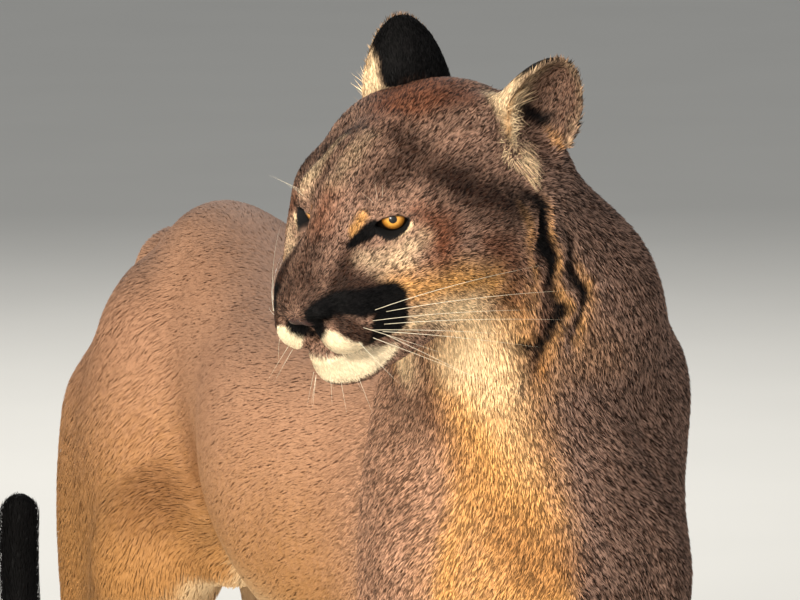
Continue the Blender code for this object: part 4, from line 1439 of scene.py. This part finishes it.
def tubes(name, courses, radii):
    """Tapered three-sided hairs as one mesh, each along its own course of points."""
    points, triangles = [], []
    sides = 3
    for course, radius in zip(courses, radii):
        start, count = len(points), len(course)
        for i, at in enumerate(course):
            ahead = unit(course[min(i + 1, count - 1)] - course[max(i - 1, 0)])
            across = unit(np.cross(ahead, (0.31, 0.2, 0.93)))
            other = np.cross(ahead, across)
            size = radius * (1.0 - 0.93 * i / (count - 1))
            for s in range(sides):
                turn = 2 * math.pi * s / sides
                points.append(at + (across * math.cos(turn) + other * math.sin(turn)) * size)
        for i in range(count - 1):
            for s in range(sides):
                a, b = start + i * sides + s, start + i * sides + (s + 1) % sides
                triangles += [(a, b, b + sides), (a, b + sides, a + sides)]
        end = start + (count - 1) * sides
        triangles += [(start, start + 2, start + 1), (end, end + 1, end + 2)]
    return triangle_mesh(name, np.array(points), np.array(triangles))


# Whiskers: roots on the muzzle's side (left, forward, up), the way they leave, and lengths, in millimetres
WHISKERS = (
    ((41, 56, -38), (0.85, -0.42, 0.18), 104), ((44, 50, -43), (0.88, -0.42, 0.10), 112),
    ((40, 60, -44), (0.88, -0.30, 0.06), 98), ((43, 54, -50), (0.88, -0.38, 0.00), 106),
    ((38, 62, -50), (0.90, -0.25, -0.10), 84), ((40, 54, -56), (0.85, -0.35, -0.22), 90),
    ((36, 60, -58), (0.75, -0.30, -0.50), 72), ((33, 66, -46), (0.90, 0.00, -0.15), 60),
    ((30, 70, -54), (0.70, 0.20, -0.50), 40), ((38, 50, -62), (0.70, -0.35, -0.60), 66),
)
BROW_HAIRS = (((30, 15, 16), (0.35, 0.45, 0.80), 28), ((33, 13, 17), (0.50, 0.35, 0.80), 24),
              ((27, 17, 15), (0.20, 0.50, 0.80), 20))
CHIN_HAIRS = (((10, 74, -84), (0.2, 0.4, -0.9), 22), ((18, 66, -86), (0.4, 0.2, -0.9), 26),
              ((6, 78, -80), (0.1, 0.6, -0.8), 18), ((14, 84, -58), (0.4, 0.6, -0.7), 24),
              ((22, 78, -60), (0.6, 0.4, -0.7), 28))
# The groups of long hairs: how thick they are as a share of a whisker, and how far 100 mm of one bends, in
# millimetres; the right side's whiskers are swept back
LONG_HAIRS = ((WHISKERS, 1.0, (0.0, -12.0, -14.0)), (BROW_HAIRS, 0.55, (0.0, 0.0, -8.0)),
              (CHIN_HAIRS, 0.6, (0.0, 0.0, -3.0)))
RIGHT_SWEEP = np.array([-0.25, -0.45, -0.05])


def make_whiskers():
    courses, radii = [], []
    rng = np.random.default_rng(WHISKER_SEED)
    thickness = settings("whiskers").thickness
    steps = np.linspace(0.0, 1.0, 10)[:, None]
    for group, thick, bend in LONG_HAIRS:
        for root, way, length in group:
            for side in (-1, 1):
                swept = RIGHT_SWEEP if side < 0 and group is WHISKERS else 0.0
                way_there = unit(np.array(way) + swept + rng.normal(0, 0.05, 3))
                course = np.array(root) - 2 * way_there + way_there * length * steps
                course = course + np.array(bend) * steps**2 * length / 100
                courses.append(from_head(course * np.array([side, 1, 1])) + SHIFT)
                radii.append(thickness / 2 * thick)
    mesh = tubes("whiskers", courses, radii)
    shader = Shader("whisker")
    colour = shader.brightened(rgba(settings("whiskers").colour), 0.85 + shader.noise(200.0) * 0.3)
    mesh.materials.append(shader.set(Base_Color=colour, Roughness=0.35))
    placed(bpy.data.objects.new("whiskers", mesh))


# The eye: the iris's radius, and where each eye looks, in the head's own axes
IRIS_RADIUS, CORNEA_BULGE = 0.0078, 0.0009
# What the back of an eyeball has for its distance from the axis, so that no iris shows there
OFF_THE_FRONT = 0.03
GAZE = {"eye_left": (0.58, 0.804, 0.134), "eye_right": (0.09, 0.98, 0.134)}


def make_eye(name):
    low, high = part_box(name)
    centre, radius = (np.array(low) + np.array(high)) / 2, (high - low)[0] / 2
    gaze = unit(GAZE[name]) @ AXES
    bm = bmesh.new()
    bmesh.ops.create_uvsphere(bm, u_segments=64, v_segments=48, radius=radius)
    turn = Vector((0, 0, 1)).rotation_difference(Vector(gaze)).to_matrix().to_4x4()
    edge = IRIS_RADIUS / radius
    for v in bm.verts:
        off = math.hypot(v.co.x, v.co.y) / radius
        if v.co.z > 0 and off < edge:
            v.co.z += CORNEA_BULGE * (1.0 - (off / edge) ** 2)
    bm.transform(Matrix.Translation(Vector(centre)) @ turn)
    mesh = bpy.data.meshes.new(name)
    bm.to_mesh(mesh)
    bm.free()
    points = read(mesh.vertices, "co", 3) - centre
    off = np.linalg.norm(points - (points @ gaze)[:, None] * gaze, axis=1)
    front = points @ gaze > 0
    write_attribute(mesh, "off_axis", np.where(front, off, OFF_THE_FRONT))
    write_attribute(mesh, "height", points @ AXES[2])
    mesh.shade_smooth()
    mesh.materials.append(made["eye material"])
    obj = placed(bpy.data.objects.new(name + "_detail", mesh))
    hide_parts(name)


def eye_material():
    """Amber in fine rays, darker at its edge and in the shade of the upper lid."""
    eye = settings("eyes")
    shader = Shader("eye")
    off = shader.node("ShaderNodeAttribute", {"attribute_name": "off_axis"}, output=2)
    height = shader.node("ShaderNodeAttribute", {"attribute_name": "height"}, output=2)
    rays = shader.noise(900.0, 3.0)
    outer = (off + (rays - 0.5) * 0.004).step(0.0030, IRIS_RADIUS - 0.0010)
    iris = shader.mix(rgba(eye.amber), rgba(eye.rim), outer)
    iris = shader.brightened(iris, (0.45 + rays * 1.1) * (1.0 - height.step(0.0010, 0.0052) * 0.75))
    iris = shader.mix(iris, rgba(linear(14, 9, 6)), off.step(IRIS_RADIUS - 0.0013, IRIS_RADIUS - 0.0002))
    iris = shader.mix(rgba(linear(4, 3, 3)), iris, off.step(eye.pupil - 0.0004, eye.pupil + 0.0003))
    return shader.set(Base_Color=iris, Roughness=0.35, Specular_IOR_Level=0.1, Coat_Weight=1.0,
                      Coat_Roughness=0.02, Coat_IOR=1.36)


# The photo's camera: which way it looks, how far off it stands, and where its frame puts the eyes' middle
CAMERA_TURN, CAMERA_DIP = math.radians(17.5), math.radians(8.0)
CAMERA_AWAY, FRAME_WIDE, FRAME_TALL, FOCAL_PIXELS = 4.0, 800, 600, 6400.0
EYES_PIXEL = (358.4, 204.9)
SENSOR_WIDE = 36.0


def make_camera():
    turn, dip = CAMERA_TURN, CAMERA_DIP
    right = Vector((math.cos(turn), -math.sin(turn), 0))
    up = Vector((math.sin(turn) * math.sin(dip), math.cos(turn) * math.sin(dip), math.cos(dip)))
    ahead = Vector((math.sin(turn) * math.cos(dip), math.cos(turn) * math.cos(dip), -math.sin(dip)))
    metres = CAMERA_AWAY / FOCAL_PIXELS
    off = right * (EYES_PIXEL[0] - FRAME_WIDE / 2) * metres - up * (EYES_PIXEL[1] - FRAME_TALL / 2) * metres
    at = Vector(HEAD_AT + SHIFT) - ahead * CAMERA_AWAY - off
    data = bpy.data.cameras.new("camera")
    data.lens = FOCAL_PIXELS / FRAME_WIDE * SENSOR_WIDE
    data.sensor_width = SENSOR_WIDE
    data.clip_end = 100.0
    camera = bpy.data.objects.new("camera", data)
    camera.matrix_world = Matrix.Translation(at) @ Matrix((right, up, -ahead)).transposed().to_4x4()
    bpy.context.scene.collection.objects.link(camera)
    bpy.context.scene.camera = camera


def area_light(name, at, target, size, power, colour):
    data = bpy.data.lights.new(name, "AREA")
    data.shape, data.size, data.energy, data.color = "DISK", size, power, colour
    obj = bpy.data.objects.new(name, data)
    obj.location = at
    obj.rotation_euler = (Vector(target) - Vector(at)).to_track_quat("-Z", "Y").to_euler()
    bpy.context.scene.collection.objects.link(obj)


# Half the floor's width, what the main lights aim at, and the powers of the small ones, in watts
FLOOR_HALF, AIM, BOUNCE_POWER, BACK_POWER = 30, (0.0, -0.5, 0.6), 14.0, 90.0
SKY_COLOUR, SKY_STRENGTH = (0.84, 0.86, 0.88, 1.0), 0.40


def make_stage():
    stage = settings("stage")
    corners = [(x * FLOOR_HALF, y * FLOOR_HALF, 0) for x, y in ((-1, -1), (1, -1), (1, 1), (-1, 1))]
    mesh = mesh_from("floor", corners, [(0, 1, 2, 3)])
    shader = Shader("floor")
    colour = shader.brightened(rgba(stage.floor), 0.97 + shader.noise(3.0) * 0.06)
    mesh.materials.append(shader.set(Base_Color=colour, Roughness=0.9))
    floor = bpy.data.objects.new("floor", mesh)
    bpy.context.scene.collection.objects.link(floor)
    area_light("key", (-2.7, -3.6, 2.5), AIM, 1.0, stage.key, (1.0, 0.95, 0.86))
    area_light("bounce", (-1.15, -2.1, 0.14), tuple(HEAD_AT + SHIFT), 0.36, BOUNCE_POWER, (1.0, 0.93, 0.82))
    area_light("fill", (2.8, -3.2, 1.6), AIM, 2.4, stage.fill, (0.92, 0.95, 1.0))
    area_light("back", (0.8, 3.4, 2.8), (0, 0.2, 0.5), 2.2, BACK_POWER, (1.0, 0.98, 0.95))
    world = bpy.data.worlds.new("studio")
    world.use_nodes = True
    background = world.node_tree.nodes["Background"]
    background.inputs[0].default_value = SKY_COLOUR
    background.inputs[1].default_value = SKY_STRENGTH
    bpy.context.scene.world = world
    bpy.context.scene.view_settings.view_transform = "Standard"
    make_camera()


class CougarOperator(bpy.types.Operator):
    """A step of dressing the cougar."""

    bl_options = {"REGISTER", "UNDO"}

    def execute(self, context):
        self.build()
        return {"FINISHED"}


class COUGAR_OT_skin(CougarOperator):
    """Makes the skin that stands for the solids of flesh"""

    bl_idname = "cougar.skin"
    bl_label = "Skin"

    def build(self):
        obj = make_skin()
        made["skin"] = Skin(obj)
        write_colours(obj.data, made["skin"].colours)
        obj.data.materials.append(skin_material())


class COUGAR_OT_coat(CougarOperator):
    """Grows the coat of short hair on every side"""

    bl_idname = "cougar.coat"
    bl_label = "Coat"

    def build(self):
        make_coat()
        make_ear_tufts()


class COUGAR_OT_whiskers(CougarOperator):
    """Adds the whiskers, and the longer hairs of the brow and chin"""

    bl_idname = "cougar.whiskers"
    bl_label = "Whiskers"

    def build(self):
        make_whiskers()


class COUGAR_OT_eyes(CougarOperator):
    """Makes the two eyes, with iris, pupil and a wet front"""

    bl_idname = "cougar.eyes"
    bl_label = "Eyes"

    def build(self):
        made["eye material"] = eye_material()
        make_eye("eye_left")
        make_eye("eye_right")


class COUGAR_OT_stage(CougarOperator):
    """Sets the floor, the soft lights and the camera"""

    bl_idname = "cougar.stage"
    bl_label = "Stage"

    def build(self):
        make_stage()


STEPS = (COUGAR_OT_skin, COUGAR_OT_coat, COUGAR_OT_eyes, COUGAR_OT_whiskers, COUGAR_OT_stage)
GROUPS = {"coat": CoatSettings, "eyes": EyeSettings, "whiskers": WhiskerSettings, "stage": StageSettings}


class COUGAR_PT_panel(bpy.types.Panel):
    bl_label = "Cougar"
    bl_idname = "COUGAR_PT_panel"
    bl_space_type = "VIEW_3D"
    bl_region_type = "UI"
    bl_category = "Cougar"

    def draw(self, context):
        for step in STEPS:
            self.layout.operator(step.bl_idname)
        for name, group in GROUPS.items():
            box = self.layout.box()
            for prop in group.__annotations__:
                box.prop(getattr(context.scene, "cougar_" + name), prop)


def register():
    for group in GROUPS.values():
        bpy.utils.register_class(group)
    for name, group in GROUPS.items():
        setattr(bpy.types.Scene, "cougar_" + name, bpy.props.PointerProperty(type=group))
    for cls in (*STEPS, COUGAR_PT_panel):
        bpy.utils.register_class(cls)


def unregister():
    for cls in (COUGAR_PT_panel, *reversed(STEPS)):
        bpy.utils.unregister_class(cls)
    for name, group in GROUPS.items():
        delattr(bpy.types.Scene, "cougar_" + name)
        bpy.utils.unregister_class(group)


def main():
    register()
    for step in (bpy.ops.cougar.skin, bpy.ops.cougar.coat, bpy.ops.cougar.eyes, bpy.ops.cougar.whiskers,
                 bpy.ops.cougar.stage):
        step()


if __name__ == "__main__":
    main()
